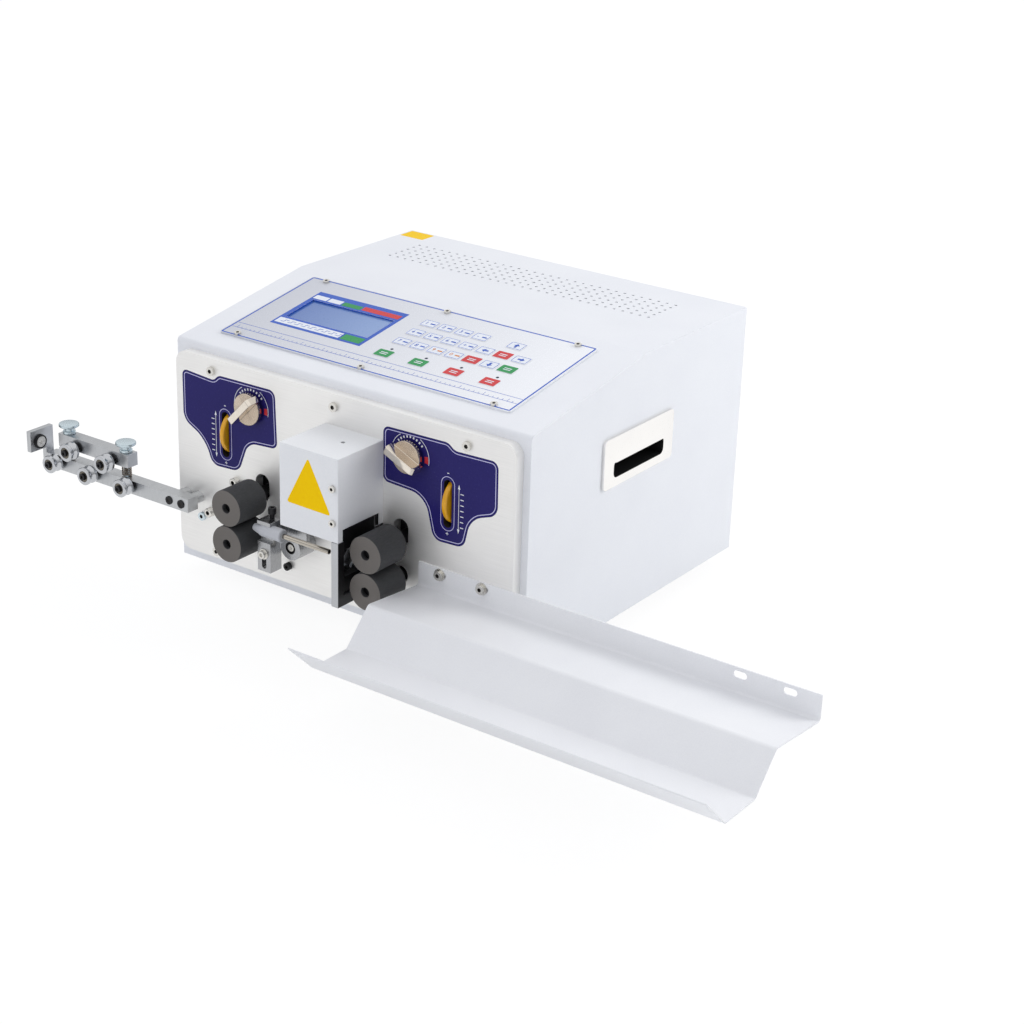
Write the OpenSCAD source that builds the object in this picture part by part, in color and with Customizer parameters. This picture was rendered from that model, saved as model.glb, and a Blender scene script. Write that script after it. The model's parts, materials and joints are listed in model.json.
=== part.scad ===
// Wire cutting and stripping machine. A bench case with a sloping control panel carries, on its
// front plate, two pairs of feed rollers, a swinging guide pipe and a blade head, with a wire
// straightener on the left and a collecting tray on the right.
// Millimetres, +Z up, +X to the right seen from the front, +Y to the back.
// The origin is on the bench, under the middle of the four feet.

/* [Case] */
// Width of the case
case_w = 390; // [370:1:420]
// Depth of the case behind the front plate
case_d = 340; // [320:1:380]
// Height of the case at the back, without the feet
case_h = 240; // [232:1:260]
// Height of the case at the front edge of the slope
case_front_h = 212; // [208:1:218]
// Depth of the slope that carries the control panel
slope_d = 170; // [162:1:190]
// Thickness of the painted sheet
sheet_t = 1.5; // [1:0.1:2]
// Radius of the folded edges
fold_r = 4; // [3:0.5:8]
// Height of the upturned edge of the base pan
pan_wall_h = 18; // [12:1:25]
// Height of the rubber feet
foot_h = 15; // [10:1:25]
// Radius of the rubber feet
foot_r = 12; // [9:1:16]
// Distance of a foot from the sides and the front of the case
foot_inset = 40; // [25:1:70]
// Holes across and deep in the vent field on the top
vent_count = [33, 6];
// Distance between vent holes
vent_pitch = 9.3; // [8:0.1:10]
// Diameter of a vent hole
vent_d = 3; // [2:0.1:4]

/* [Front plate] */
// Width of the front plate
plate_w = 376; // [366:1:384]
// Height of the front plate
plate_h = 192.5; // [190:0.5:194]
// Thickness of the front plate
plate_t = 10; // [8:0.5:12]
// Radius of the front plate's corners
plate_corner_r = 12; // [6:1:20]
// Height of the front plate's lower edge above the case's bottom
plate_rise = 12.5; // [8:0.5:14]

/* [Control panel] */
// Width of the control panel
panel_w = 322; // [300:1:340]
// Height of the control panel along the slope
panel_h = 132; // [126:1:136]
// Thickness of the control panel
panel_t = 1.5; // [1:0.1:3]
// Width of the screen
screen_w = 101; // [90:1:106]
// Height of the screen along the slope
screen_h = 45; // [40:1:54]
// Width of a key
key_w = 16.5; // [12:0.5:17.5]
// Height of a key along the slope
key_h = 12.3; // [9:0.1:16]
// Height of the embossed keys
key_rise = 0.4; // [0.2:0.1:0.8]

/* [Feed rollers] */
// Height of the wire above the case's bottom
wire_rise = 75.5; // [73:0.5:79]
// Distance of the wire from the front plate
wire_reach = 32; // [28:0.5:36]
// Distance between the left and the right pair
feed_span = 156.5; // [150:0.5:162]
// Diameter of a feed roller
roller_d = 33.6; // [33:0.1:34.2]
// Length of a feed roller
roller_len = 35; // [32:1:42]
// Gap between the closed rollers
nip_gap = 0.4; // [0.3:0.1:0.8]
// Diameter of the roller shafts
shaft_d = 12; // [10:0.5:13]
// Travel of the upper rollers when they are lifted
lift = 5; // [3:0.5:6]
// Teeth of a roller gear
gear_teeth = 17; // [15:1:19]
// Width of a roller gear
gear_w = 10; // [8:1:14]
// Side of a feed motor
motor_w = 56; // [50:1:58]
// Length of a feed motor
motor_len = 76; // [50:1:90]

/* [Lift knobs and thumbwheels] */
// Diameter of a lift knob's disc
knob_d = 29; // [24:1:32]
// Length of a lift knob's grip
grip_len = 35.5; // [30:0.5:40]
// Height of a lift knob's grip
grip_h = 10.5; // [6:0.5:12]
// Thickness of a lift knob's grip
grip_t = 6.5; // [4:0.5:7]
// Diameter of a thumbwheel
wheel_d = 42; // [39:1:43]
// Width of a thumbwheel
wheel_w = 5.2; // [4:0.2:7]
// Room beside a thumbwheel in its slot
wheel_side_gap = 1.7; // [0.8:0.1:2.4]
// How far a thumbwheel stands out of the front plate
wheel_out = 6; // [4:0.5:7]

/* [Blade head] */
// Width of the blade cover
cover_w = 64; // [60:1:66]
// Depth of the blade cover
cover_d = 60; // [56:1:66]
// Height of the blade cover
cover_h = 75.5; // [72:0.5:80]
// Thickness of the blade frame
frame_t = 7.5; // [6:0.5:9]
// Height of the blade frame's foot above the case's bottom
frame_rise = 42; // [36:1:43]
// Travel of each blade
blade_travel = 8; // [4:0.5:9]
// Width of a blade
blade_w = 20; // [14:1:24]
// Thickness of a blade
blade_t = 2.5; // [1.5:0.1:2.6]
// Diameter of the lead screw
lead_d = 10; // [8:0.5:11]

/* [Guide pipe] */
// Diameter of the nozzle
nozzle_d = 12; // [9:0.5:13]
// Diameter of the thin pipe
pipe_d = 4.6; // [4:0.1:6]
// Diameter of the hole for the wire
pipe_bore_d = 3.2; // [2:0.1:3.6]
// Length of the thin pipe
pipe_len = 52; // [40:1:54]

/* [Straightener] */
// Width and height of the straightener's bars
bar_w = 13; // [11:0.5:14]
// Distance between two lower rollers
roll_pitch = 46; // [42:1:50]
// Diameter of a straightener roller
roll_d = 17; // [15:0.5:19]
// Width of a straightener roller
roll_w = 11; // [9:0.5:12]
// Diameter of the roller axles
axle_d = 5; // [4:0.5:6]
// Diameter of a thumbscrew's head
thumb_d = 19; // [15:0.5:22]
// Pitch of the thumbscrew's thread
thumb_pitch = 0.8; // [0.5:0.1:1]

/* [Tray] */
// Length of the tray
tray_len = 386; // [340:1:400]
// Height of the tray's flange on the front plate
tray_flange_h = 23; // [21:1:26]
// Depth of the tray's flat shelf
tray_shelf_d = 68; // [60:1:76]
// Rise of the shelf towards the operator
tray_shelf_rise = 6; // [0:0.5:8]
// Depth of the tray's trough floor
tray_floor_d = 43; // [36:1:50]
// Drop of the trough floor below the shelf
tray_drop = 30; // [26:1:33]
// Thickness of the tray's sheet
tray_t = 1.2; // [1:0.1:1.6]
// Width of a tray slot
slot_w = 6; // [5:0.5:7]
// Length of a tray slot
slot_len = 12; // [10:0.5:16]

/* [Side handles] */
// Length of a side handle
handle_len = 110; // [100:1:116]
// Height of a side handle
handle_h = 46; // [42:1:50]
// Length of the finger opening
pull_len = 80; // [74:1:84]
// Height of the finger opening
pull_h = 16; // [14:0.5:18]
// Depth of the finger pocket
pocket_d = 24; // [18:1:30]

/* [Hidden] */
$fn = 48;

// Clearances: running fits, seats inside one body, sheet edges and free gaps
run_gap = 0.05;
seat_gap = 0.03;
sheet_gap = 0.2;
free_gap = 0.3;
// Overlap of a cutting tool past the face it cuts
cut = 1;

// Main planes of the case
front_y = -case_d / 2;
back_y = case_d / 2;
plate_y = front_y - plate_t;
floor_z = foot_h;
top_z = foot_h + case_h;
front_top_z = foot_h + case_front_h;
fold_y = front_y + slope_d;
slope_a = atan2(case_h - case_front_h, slope_d);
inner_x = case_w / 2 - sheet_t;
vent_mid = [-6.5, 108];

// Front plate and what it laps over
plate_z = floor_z + plate_rise;
plate_top_z = plate_z + plate_h;
top_screw_x = [43 - plate_w / 2, -3.5, plate_w / 2 - 49.5];
top_screw_drop = 11.5;
low_screw_x = [45 - plate_w / 2, plate_w / 2 - 23];
low_screw_rise = 7;
side_screw = [28 - plate_w / 2, 37.5];
stop_screw = [-56, 17.5];
plate_lap = 14;

// Control panel: places along X and along the slope from the front fold
panel_mid = [-5.5, 90.5];
panel_screw = [142, 62];
panel_corner_r = 3;
panel_top = seat_gap + panel_t;
key_corner_r = 1.2;
screen_mid = [-85.5, 97];
screen_depth = 10;
screen_lap = 3;
key_pitch = [19, 20];
key_origin = [-5, 86];
mode_key_s = 60;
mode_key_x = [for (i = [0:3]) key_origin.x + 2 * i * key_pitch.x];
key_places = [
    for (row = [0:2]) for (column = [0:3]) key_origin + [column * key_pitch.x, row * key_pitch.y],
    for (place = [[4, 0], [4, 1], [5, 0], [5, 1], [5, 2], [6, 0], [6, 1]])
        key_origin + [place.x * key_pitch.x, place.y * key_pitch.y],
    for (x = mode_key_x) [x, mode_key_s]];

// Wire line and feed rollers
wire_h = floor_z + wire_rise;
wire_y = plate_y - wire_reach;
feed_mid_x = -8.1;
left_x = feed_mid_x - feed_span / 2;
right_x = feed_mid_x + feed_span / 2;
axis_gap = roller_d + nip_gap;
upper_z = wire_h + axis_gap / 2;
lower_z = wire_h - axis_gap / 2;
roller_back_gap = 13;
roller_back_y = plate_y - roller_back_gap;
roller_front_y = roller_back_y - roller_len;
shaft_r = shaft_d / 2;
shaft_end_gap = 5;
roller_face_r = 4.3;
shaft_slot_r = shaft_r + 2;
slot_rise = lift + 4.5;

// Bearing housings, carriages and drive behind the front plate
carriage_w = 32;
carriage_h = 28;
carriage_front_y = front_y + 1;
housing_d = 33;
housing_back_y = front_y + housing_d;
cheek_t = 10;
housing_half = carriage_w / 2 + free_gap + cheek_t;
housing_foot = 20;
stop_gap = 1;
gear_y = housing_back_y + 3;
gear_module = axis_gap / (gear_teeth + 0.3);
gear_backlash = 0.3;
coupling_r = 11;
coupling_y = gear_y + gear_w + 4;
coupling_len = 20;
bracket_t = 5;
bracket_y = coupling_y + coupling_len + 1;
motor_y = bracket_y + bracket_t;
motor_pilot_r = 19;
motor_shaft_r = 4;
motor_shaft_in = 12;
motor_corner = 6;

// Lift knobs: the eccentric hangs down at rest and lifts the carriage's frame when it is turned
knob_z = foot_h + 170;
left_knob_x = -98.3;
right_knob_x = 79.3;
left_grip_a = 46;
right_grip_a = -24;
knob_sleeve_h = 2.5;
knob_disc_h = 4.5;
knob_face_t = 1.5;
knob_sleeve_r = 9;
spindle_r = 4;
lift_y = front_y + 12;
lift_t = 6;
cam_throw = lift;
cam_r = 10;
lift_frame_w = 8;
lift_window = cam_r + cam_throw + 1.5;
lift_stem_w = 14;

// Thumbwheels on cross shafts, with an eccentric that loads the pressure spring at rest
wheel_z = foot_h + 137;
left_wheel_x = -129.5;
right_wheel_x = 119.3;
wheel_axis_y = plate_y - wheel_out + wheel_d / 2;
wheel_slot_w = wheel_w + 2 * wheel_side_gap;
wheel_slot_h = wheel_d + 1;
cross_r = 3;
eccentric_r = 4.6;
eccentric_throw = 1.5;
eccentric_w = 10;
ear_top = 9;
ear_d = 11;
spring_r = 3.2;
spring_wire_r = 0.6;
carriage_top_z = upper_z + carriage_h / 2;
spring_top_z = wheel_z - eccentric_r - eccentric_throw - free_gap;

// Blade head
cover_x = 51 - cover_w;
cover_z = foot_h + 101.5;
cover_t = 1.2;
frame_x1 = cover_x + cover_w;
frame_x0 = frame_x1 - frame_t;
frame_y0 = plate_y - cover_d;
frame_foot_h = floor_z + frame_rise;
cover_top_z = cover_z + cover_h;
cover_front_y = frame_y0;
window_y = [frame_y0 + 8, plate_y - 10];
window_z = [frame_foot_h + 10, cover_z + 16];
bridge_z = cover_z + 24;
bridge_t = 5;
bridge_x0 = cover_x + 12;
ledge_h = 7;
lead_x = 24;
lead_y = plate_y - 19;
lead_r = lead_d / 2;
carrier_cut = 6.5;
lead_end_r = 4;
lead_neck_r = 2.5;
cutter_motor_w = 35;
cutter_motor_h = 36;
carrier_x0 = lead_x - 9;
carrier_y = [wire_y + 4, plate_y - 4];
upper_carrier_z = [wire_h + 16.5, wire_h + 36.5];
lower_carrier_z = [window_z[0] + free_gap, wire_h - 8.5];
tongue_x = [frame_x0 - 2, frame_x1 - 2];
tongue_y = [window_y[0] + free_gap, window_y[1] - free_gap];
blade_x = tongue_x[0] - 2 * blade_t - 1;
blade_clamp_t = 4;
blade_gap = 3;
blade_notch = 5;

// Guide pipe on its swing arm
pivot = [-36, foot_h + 60];
boss_r = 11.5;
boss_front_y = plate_y - 17;
pivot_r = 4;
arm_t = 4;
arm_y0 = boss_front_y - free_gap - arm_t;
guide_block_x = [-62, -47];
guide_block_z = [foot_h + 37, wire_h + 9];
guide_block_y0 = wire_y - 3;
nozzle_x = [-67.5, -34];
nozzle_tip_r = 3;
nozzle_taper = 11;
arm_x1 = -17;
arm_half_h = 8;
guide_foot_z = foot_h + 65;
guide_slot_z = guide_block_z[0] + 11.5;
guide_screw_z = guide_slot_z + 5.5;
pivot_recess = [5.5, 2.5];
guide_mid_x = (guide_block_x[0] + guide_block_x[1]) / 2;
clamp_screw_y = arm_y0 - 2;

// Straightener
bar_front_y = plate_y - 24.5;
bar_back_y = bar_front_y + bar_w;
bar_z = foot_h + 68.5;
bar_x = [-337, -155];
roll_spacer = 2.5;
roll_front_y = bar_front_y - roll_spacer - roll_w;
lower_roll_z = bar_z + 2;
upper_roll_z = lower_roll_z + roll_d + 0.5;
lower_roll_x = [for (i = [0:2]) -320.5 + i * roll_pitch];
upper_roll_x = [for (i = [0:1]) lower_roll_x[i] + roll_pitch / 2];
groove_r = 2.6;
axle_r = axle_d / 2;
spacer_r = 5;
axle_head_r = 3.2;
bearing_r = 5.2;
upper_bar_x = [-319.5, -229.5];
upper_bar_z = upper_roll_z - 2;
thumb_x = [upper_bar_x[0] + 8, upper_bar_x[1] - 8];
thumb_y = bar_front_y + bar_w / 2;
thumb_h = 3.2;
thumb_neck_h = 4;
thumb_neck_r = 4;
thumb_collar_h = 2.8;
thumb_collar_r = 6;
thumb_shank_r = 2.5;
thumb_turns = 3;
post_r = 5.5;
post_x = [-178.1, -163.5];
inlet_x = bar_x[0];
inlet_t = 5;
inlet_y = [wire_y - 11.5, bar_back_y - 3.5];
inlet_z = [bar_z + 11.5, bar_z + 32];
inlet_hole_z = bar_z + 20;
inlet_hole_r = 6.6;
inlet_bush_t = 0.9;
inlet_bush_out = 2.5;

// Tray: its section is a bent strip, from the flange's top to the lip
tray_x = [90.5, 90.5 + tray_len];
tray_fold_z = foot_h + 54;
tray_edge_z = tray_fold_z + tray_shelf_rise;
tray_floor_z = tray_edge_z - tray_drop;
tray_face_y = plate_y - tray_t;
tray_ramp_d = 28;
tray_lip = [30, 29];
tray_bend_r = 4;
tray_path = bent_path([
    [plate_y, tray_fold_z + tray_flange_h],
    [plate_y, tray_fold_z],
    [plate_y - tray_shelf_d, tray_edge_z],
    [plate_y - tray_shelf_d - tray_ramp_d, tray_floor_z],
    [plate_y - tray_shelf_d - tray_ramp_d - tray_floor_d, tray_floor_z],
    [plate_y - tray_shelf_d - tray_ramp_d - tray_floor_d - tray_lip.x,
        tray_floor_z + tray_lip.y]], tray_bend_r);
near_inset = [23, 67];
far_inset = [27, 71];
slot_z = tray_fold_z + 17;
slot_x = concat([for (d = near_inset) tray_x[0] + d], [for (d = far_inset) tray_x[1] - d]);

// Side handles, set from the middle of the sides
handle_mid = [-8.5, foot_h + 154];
handle_t = 2.5;
hood_out = 3;
hood_lip = 4;
hood_half = pull_len / 2 + 10;
hood_top = handle_h / 2 - 2;
pocket_wall = 1.5;
pull_z = [-handle_h / 2 + 8, -handle_h / 2 + 8 + pull_h];
pocket_top = handle_h / 2 - 5;

// Power inlet at the back
inlet_from_side = 65;
inlet_mid = [inlet_from_side - case_w / 2, foot_h + 50];
inlet_size = [30, 50];
rocker_size = [22, 14];
rocker_z = inlet_mid.y + 14;
rocker_pin_r = 1.5;

// Power supply and control board on the base pan
supply_in = [135, 80];
supply_mid = [case_w / 2, case_d / 2] - supply_in;
supply_size = [160, 100, 42];
supply_slots = 10;
supply_slot = [6, 80];
supply_slot_pitch = 14;
board_in = [100, 80];
board_mid = [board_in.x - case_w / 2, case_d / 2 - board_in.y];
board_size = [130, 110, 1.6];
board_edge = 8;
board_spacer_r = 3;
spacer_h = 8;
sink_size = [28, 40, 18];
sink_pitch = 38;
capacitor_r = 9;
capacitor_h = 26;
capacitor_pitch = 25;
relay_size = [35, 30, 6];

function unit(v) = v / norm(v);

// Points of an arc of radius r that rounds the corner p between a and b
function corner_arc(a, p, b, r, n) =
    let (u = unit(a - p), v = unit(b - p))
    let (half = acos(u * v) / 2)
    let (c = p + unit(u + v) * r / sin(half))
    let (s = p + u * r / tan(half) - c, e = p + v * r / tan(half) - c)
    let (from = atan2(s.y, s.x), turn = (atan2(e.y, e.x) - from + 540) % 360 - 180)
    [for (i = [0:n]) c + r * [cos(from + turn * i / n), sin(from + turn * i / n)]];

// Open path with its inner corners rounded
function bent_path(points, r, n = 5) = [
    points[0],
    for (i = [1:len(points) - 2]) each corner_arc(points[i - 1], points[i], points[i + 1], r, n),
    points[len(points) - 1]];

// The same path moved sideways by t, to the left of its direction
function moved_path(path, t) = [
    for (i = [0:len(path) - 1])
        let (before = unit(path[max(i, 1)] - path[max(i, 1) - 1]))
        let (after = i < len(path) - 1 ? unit(path[i + 1] - path[i]) : before)
        let (side = [-before.y, before.x], middle = unit([-before.y - after.y, before.x + after.x]))
        path[i] + middle * t / (middle * side)];

function reversed(list) = [for (i = [len(list) - 1:-1:0]) list[i]];

// Half width of an involute tooth, as an angle, at radius r
function roll_angle(a) = tan(a) * 180 / PI - a;
function tooth_half(r, pitch_r, teeth) =
    let (base_r = pitch_r * cos(20))
    90 / teeth - gear_backlash / pitch_r * 90 / PI + roll_angle(20)
        - roll_angle(acos(min(1, base_r / r)));

module along_x(x0, x1) translate([x0, 0, 0]) rotate([90, 0, 90]) linear_extrude(x1 - x0) children();
module along_y(y0, y1) translate([0, y1, 0]) rotate([90, 0, 0]) linear_extrude(y1 - y0) children();
module rod_x(r, x0, x1) translate([x0, 0, 0]) rotate([0, 90, 0]) cylinder(r = r, h = x1 - x0);
module rod_y(r, y0, y1) translate([0, y1, 0]) rotate([90, 0, 0]) cylinder(r = r, h = y1 - y0);
module block(low, high) translate(low) cube(high - low);

module rounded_rect(w, h, r) {
    square([w, h - 2 * r], center = true);
    square([w - 2 * r, h], center = true);
    for (x = [-1, 1]) for (y = [-1, 1]) translate([x * (w / 2 - r), y * (h / 2 - r)]) circle(r);
}

// Upright slot with round ends
module upright_slot(w, h) {
    square([w, h - w], center = true);
    for (y = [-1, 1]) translate([0, y * (h - w) / 2]) circle(w / 2);
}

// Frame of the slope: X across, Y up the slope from the front fold, Z out of the slope
module on_slope() translate([0, front_y, front_top_z]) rotate([slope_a, 0, 0]) children();

// Head of a screw with a hexagon socket, standing on z = 0
module screw_head(r, h) difference() {
    cylinder(r = r, h = h);
    translate([0, 0, h / 2]) cylinder(r = r / 2, h = h, $fn = 6);
}

// Screw head on the plane y, pointing to the front
module front_screw(x, y, z, r, h) translate([x, y, z]) rotate([90, 0, 0]) screw_head(r, h);

// Coil spring between two heights
module coil_spring(r, wire_r, z0, z1, turns) {
    steps = 10;
    sides = 6;
    count = turns * steps;
    rise = (z1 - z0 - 2 * wire_r) / count;
    points = [for (i = [0:count]) for (j = [0:sides - 1])
        let (a = 360 * i / steps, b = 360 * j / sides)
        let (radius = r + wire_r * cos(b))
        [radius * cos(a), radius * sin(a), z0 + wire_r + i * rise + wire_r * sin(b)]];
    walls = [for (i = [0:count - 1]) for (j = [0:sides - 1])
        let (k = (j + 1) % sides)
        [i * sides + j, (i + 1) * sides + j, (i + 1) * sides + k, i * sides + k]];
    ends = [[for (j = [0:sides - 1]) j], [for (j = [sides - 1:-1:0]) count * sides + j]];
    polyhedron(points, concat(walls, ends));
}

// Involute spur gear, with the middle of a tooth on its X axis
module gear_outline(pitch_r, teeth) {
    root_r = pitch_r - 1.2 * gear_module;
    tip_r = pitch_r + gear_module;
    radii = [for (i = [0:3]) max(root_r, pitch_r * cos(20)) + i * (tip_r - pitch_r * cos(20)) / 3];
    half = [root_r, each radii];
    polygon([for (tooth = [0:teeth - 1]) let (middle = 360 * tooth / teeth) each concat(
        [for (r = half) let (a = middle - tooth_half(r, pitch_r, teeth)) r * [cos(a), sin(a)]],
        [for (r = reversed(half)) let (a = middle + tooth_half(r, pitch_r, teeth))
            r * [cos(a), sin(a)]])]);
}

// Folded cover of the case: front frame, slope, top and sides, open at the back and below
module case_shell() color("whitesmoke") {
    path = bent_path([[front_y, floor_z], [front_y, front_top_z], [fold_y, top_z], [back_y, top_z]],
        fold_r);
    inner = moved_path(path, -sheet_t);
    open_half = plate_w / 2 - plate_lap;
    difference() {
        along_x(-case_w / 2, case_w / 2) polygon(concat(path, [[back_y, floor_z]]));
        along_x(-inner_x, inner_x) polygon(concat(
            [[inner[0].x, floor_z - cut]], inner,
            [[back_y + cut, inner[len(inner) - 1].y], [back_y + cut, floor_z - cut]]));
        block([-open_half, front_y - cut, plate_z + plate_lap],
            [open_half, front_y + sheet_t + cut, plate_top_z - plate_lap]);
        on_slope() translate([screen_mid.x, screen_mid.y, -sheet_t * 2])
            linear_extrude(sheet_t * 3)
                square([screen_w + 2 * sheet_gap, screen_h + 2 * sheet_gap], center = true);
        for (side = [-1, 1]) along_x(side * case_w / 2 - 2 * sheet_t, side * case_w / 2 + 2 * sheet_t)
            translate([handle_mid.x, handle_mid.y + (pull_z[0] + pocket_top) / 2])
                square([pull_len + 2 * (pocket_wall + sheet_gap),
                    pocket_top - pull_z[0] + 2 * (pocket_wall + sheet_gap)], center = true);
        for (i = [0:vent_count.x - 1]) for (j = [0:vent_count.y - 1])
            translate([vent_mid.x + (i - (vent_count.x - 1) / 2) * vent_pitch,
                vent_mid.y + (j - (vent_count.y - 1) / 2) * vent_pitch, top_z - 2 * sheet_t])
                cylinder(d = vent_d, h = 3 * sheet_t, $fn = 16);
    }
}

// Shallow pan that closes the case below and carries the feet, the supply and the board
module base_pan() color("gainsboro") {
    half = inner_x - sheet_gap;
    y0 = front_y + sheet_t + sheet_gap;
    y1 = back_y - sheet_t - sheet_gap;
    difference() {
        block([-half, y0, floor_z], [half, y1, floor_z + pan_wall_h]);
        block([-half + sheet_t, y0 + sheet_t, floor_z + sheet_t],
            [half - sheet_t, y1 - sheet_t, floor_z + pan_wall_h + cut]);
    }
}

// Back sheet with bent edges, cooling slots and the cut-out for the power inlet
module rear_panel() color("gainsboro") {
    half = inner_x - sheet_gap;
    roof_z = top_z - sheet_t - sheet_gap;
    flange = 12;
    difference() {
        union() {
            block([-half, back_y - sheet_t, floor_z], [half, back_y, roof_z]);
            for (side = [-1, 1]) translate([side * (half - sheet_t / 2), back_y - flange / 2,
                (floor_z + pan_wall_h + cut + roof_z) / 2])
                cube([sheet_t, flange, roof_z - floor_z - pan_wall_h - cut], center = true);
            block([-half, back_y - flange, roof_z - sheet_t], [half, back_y, roof_z]);
        }
        along_y(back_y - 2 * sheet_t, back_y + cut) {
            translate(inlet_mid) square(inlet_size + [sheet_gap, sheet_gap] * 2, center = true);
            for (i = [0:11]) for (row = [0, 1])
                translate([20 + i * 12, foot_h + 90 + row * 70]) upright_slot(4, 50);
        }
    }
}

// Thick aluminium plate that carries the feed, the blade head, the straightener and the tray
module front_plate() color("lightgray") difference() {
    along_y(plate_y, front_y) translate([0, (plate_z + plate_top_z) / 2])
        rounded_rect(plate_w, plate_h, plate_corner_r);
    along_y(plate_y - cut, front_y + cut) {
        for (x = [left_x, right_x]) {
            translate([x, lower_z]) circle(shaft_slot_r);
            translate([x, upper_z + slot_rise / 2])
                upright_slot(2 * shaft_slot_r, 2 * shaft_slot_r + slot_rise);
        }
        for (x = [left_wheel_x, right_wheel_x])
            translate([x, wheel_z]) upright_slot(wheel_slot_w, wheel_slot_h);
        for (x = [left_knob_x, right_knob_x]) translate([x, knob_z]) circle(spindle_r + run_gap);
    }
}

// Screw heads, washers, posts and axles that stay on the machine, each a solid of its own
module fasteners() color("dimgray") {
    for (x = top_screw_x) front_screw(x, plate_y, plate_top_z - top_screw_drop, 4.2, 2.6);
    for (x = low_screw_x) front_screw(x, plate_y, plate_z + low_screw_rise, 4, 2.4);
    front_screw(side_screw.x, plate_y, plate_z + side_screw.y, 4, 2.4);
    front_screw(stop_screw.x, plate_y, plate_z + stop_screw.y, 3.6, 4);
    on_slope() for (x = [-1, 0, 1]) for (s = [-1, 1])
        translate([panel_mid.x + x * panel_screw.x, panel_mid.y + s * panel_screw.y, panel_top])
            screw_head(3.2, 1.8);
    for (z = [0.23, 0.64])
        front_screw(frame_x1 - 5.5, cover_front_y, cover_z + cover_h * z, 3.2, 2.2);
    for (i = [0, 1]) {
        along_y(tray_face_y - 1, tray_face_y) translate([slot_x[i], slot_z]) circle(5.5);
        front_screw(slot_x[i], tray_face_y - 1, slot_z, 4, 3);
    }
    for (x = post_x) {
        front_screw(x, bar_front_y, bar_z, 4, 0.8);
        translate([x, 0, bar_z]) rod_y(post_r, bar_back_y, plate_y);
    }
    for (x = lower_roll_x) translate([x, 0, lower_roll_z]) roll_axle();
    for (x = [-1, 1]) for (z = [0, 1]) translate([x * (inner_x - 12), back_y, foot_h + 45 + z * 170])
        rotate([-90, 0, 0]) screw_head(3.5, 2.2);
}

// Shoulder axle of a straightener roller, with its spacer and head, at the origin of X and Z
module roll_axle() {
    rod_y(spacer_r, bar_front_y - roll_spacer, bar_front_y);
    rod_y(axle_r, roll_front_y, bar_front_y);
    translate([0, roll_front_y + 1, 0]) rotate([90, 0, 0]) screw_head(axle_head_r, 3);
}

// Tapered rubber feet with a recess for their screw
module rubber_feet() color("black") {
    x = case_w / 2 - foot_inset;
    y = case_d / 2 - foot_inset;
    for (i = [-1, 1]) for (j = [-1, 1]) translate([i * x, j * y, 0]) rotate_extrude() polygon([
        [foot_r * 0.45, 0], [foot_r * 0.85, 0], [foot_r, foot_h], [0, foot_h],
        [0, foot_h / 2], [foot_r * 0.45, foot_h / 2]]);
}

// Membrane panel on its stiff backing sheet, with embossed keys and the window of the screen
module control_panel() color("ghostwhite") on_slope() {
    difference() {
        translate([panel_mid.x, panel_mid.y, seat_gap]) linear_extrude(panel_t)
            rounded_rect(panel_w, panel_h, panel_corner_r);
        translate([screen_mid.x, screen_mid.y, -cut]) linear_extrude(panel_t + 2 * cut)
            square([screen_w - 2 * screen_lap, screen_h - 2 * screen_lap], center = true);
    }
    for (place = key_places) translate([place.x, place.y, panel_top])
        linear_extrude(key_rise) rounded_rect(key_w, key_h, key_corner_r);
}

// Screen module that stands in the slope's window, under the panel
module display() color("royalblue") on_slope() translate([screen_mid.x, screen_mid.y, -screen_depth])
    linear_extrude(screen_depth) square([screen_w, screen_h], center = true);

// Die-cast pull for one side: flange, hood over the finger opening and pocket in the case
module side_handle() difference() {
    union() {
        along_x(0, handle_t) rounded_rect(handle_len, handle_h, 4);
        along_x(-pocket_d - pocket_wall, 0) translate([0, (pull_z[0] + pocket_top) / 2])
            square([pull_len + 2 * pocket_wall, pocket_top - pull_z[0] + 2 * pocket_wall], center = true);
        intersection() {
            along_y(-hood_half, hood_half) polygon([
                [0, hood_top], [handle_t, hood_top], [handle_t + hood_out, pull_z[1] + hood_lip],
                [handle_t + hood_out, pull_z[1]], [0, pull_z[1]]]);
            translate([0, 0, pull_z[1]]) linear_extrude(hood_top - pull_z[1]) polygon([
                [0, -hood_half], [handle_t, -hood_half], [handle_t + hood_out, -pull_len / 2],
                [handle_t + hood_out, pull_len / 2], [handle_t, hood_half], [0, hood_half]]);
        }
    }
    along_x(-pocket_d, handle_t - pocket_wall) translate([0, (pull_z[0] + pocket_top) / 2])
        square([pull_len, pocket_top - pull_z[0]], center = true);
    along_x(-pocket_wall, handle_t + cut) translate([0, (pull_z[0] + pull_z[1]) / 2])
        rounded_rect(pull_len, pull_h, 5);
}

module side_handles() color("silver") for (side = [0, 1]) mirror([side, 0, 0])
    translate([case_w / 2, handle_mid.x, handle_mid.y]) side_handle();

// Folded cover over the blade drive, open below and towards the plate
module cutter_cover() color("white") difference() {
    block([cover_x, cover_front_y, cover_z], [frame_x1, plate_y, cover_top_z]);
    block([cover_x + cover_t, cover_front_y + cover_t, cover_z - cut],
        [frame_x1 - cover_t, plate_y + cut, cover_top_z - cover_t]);
    block([frame_x1 - 2 * cover_t, cover_front_y + 6.5, cover_z - cut],
        [frame_x1 + cut, plate_y - 6, cover_z + 10.5]);
    translate([lead_x + 4.5, lead_y - 7.5, cover_top_z - 2 * cover_t]) cylinder(r = 2, h = 3 * cover_t);
}

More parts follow.
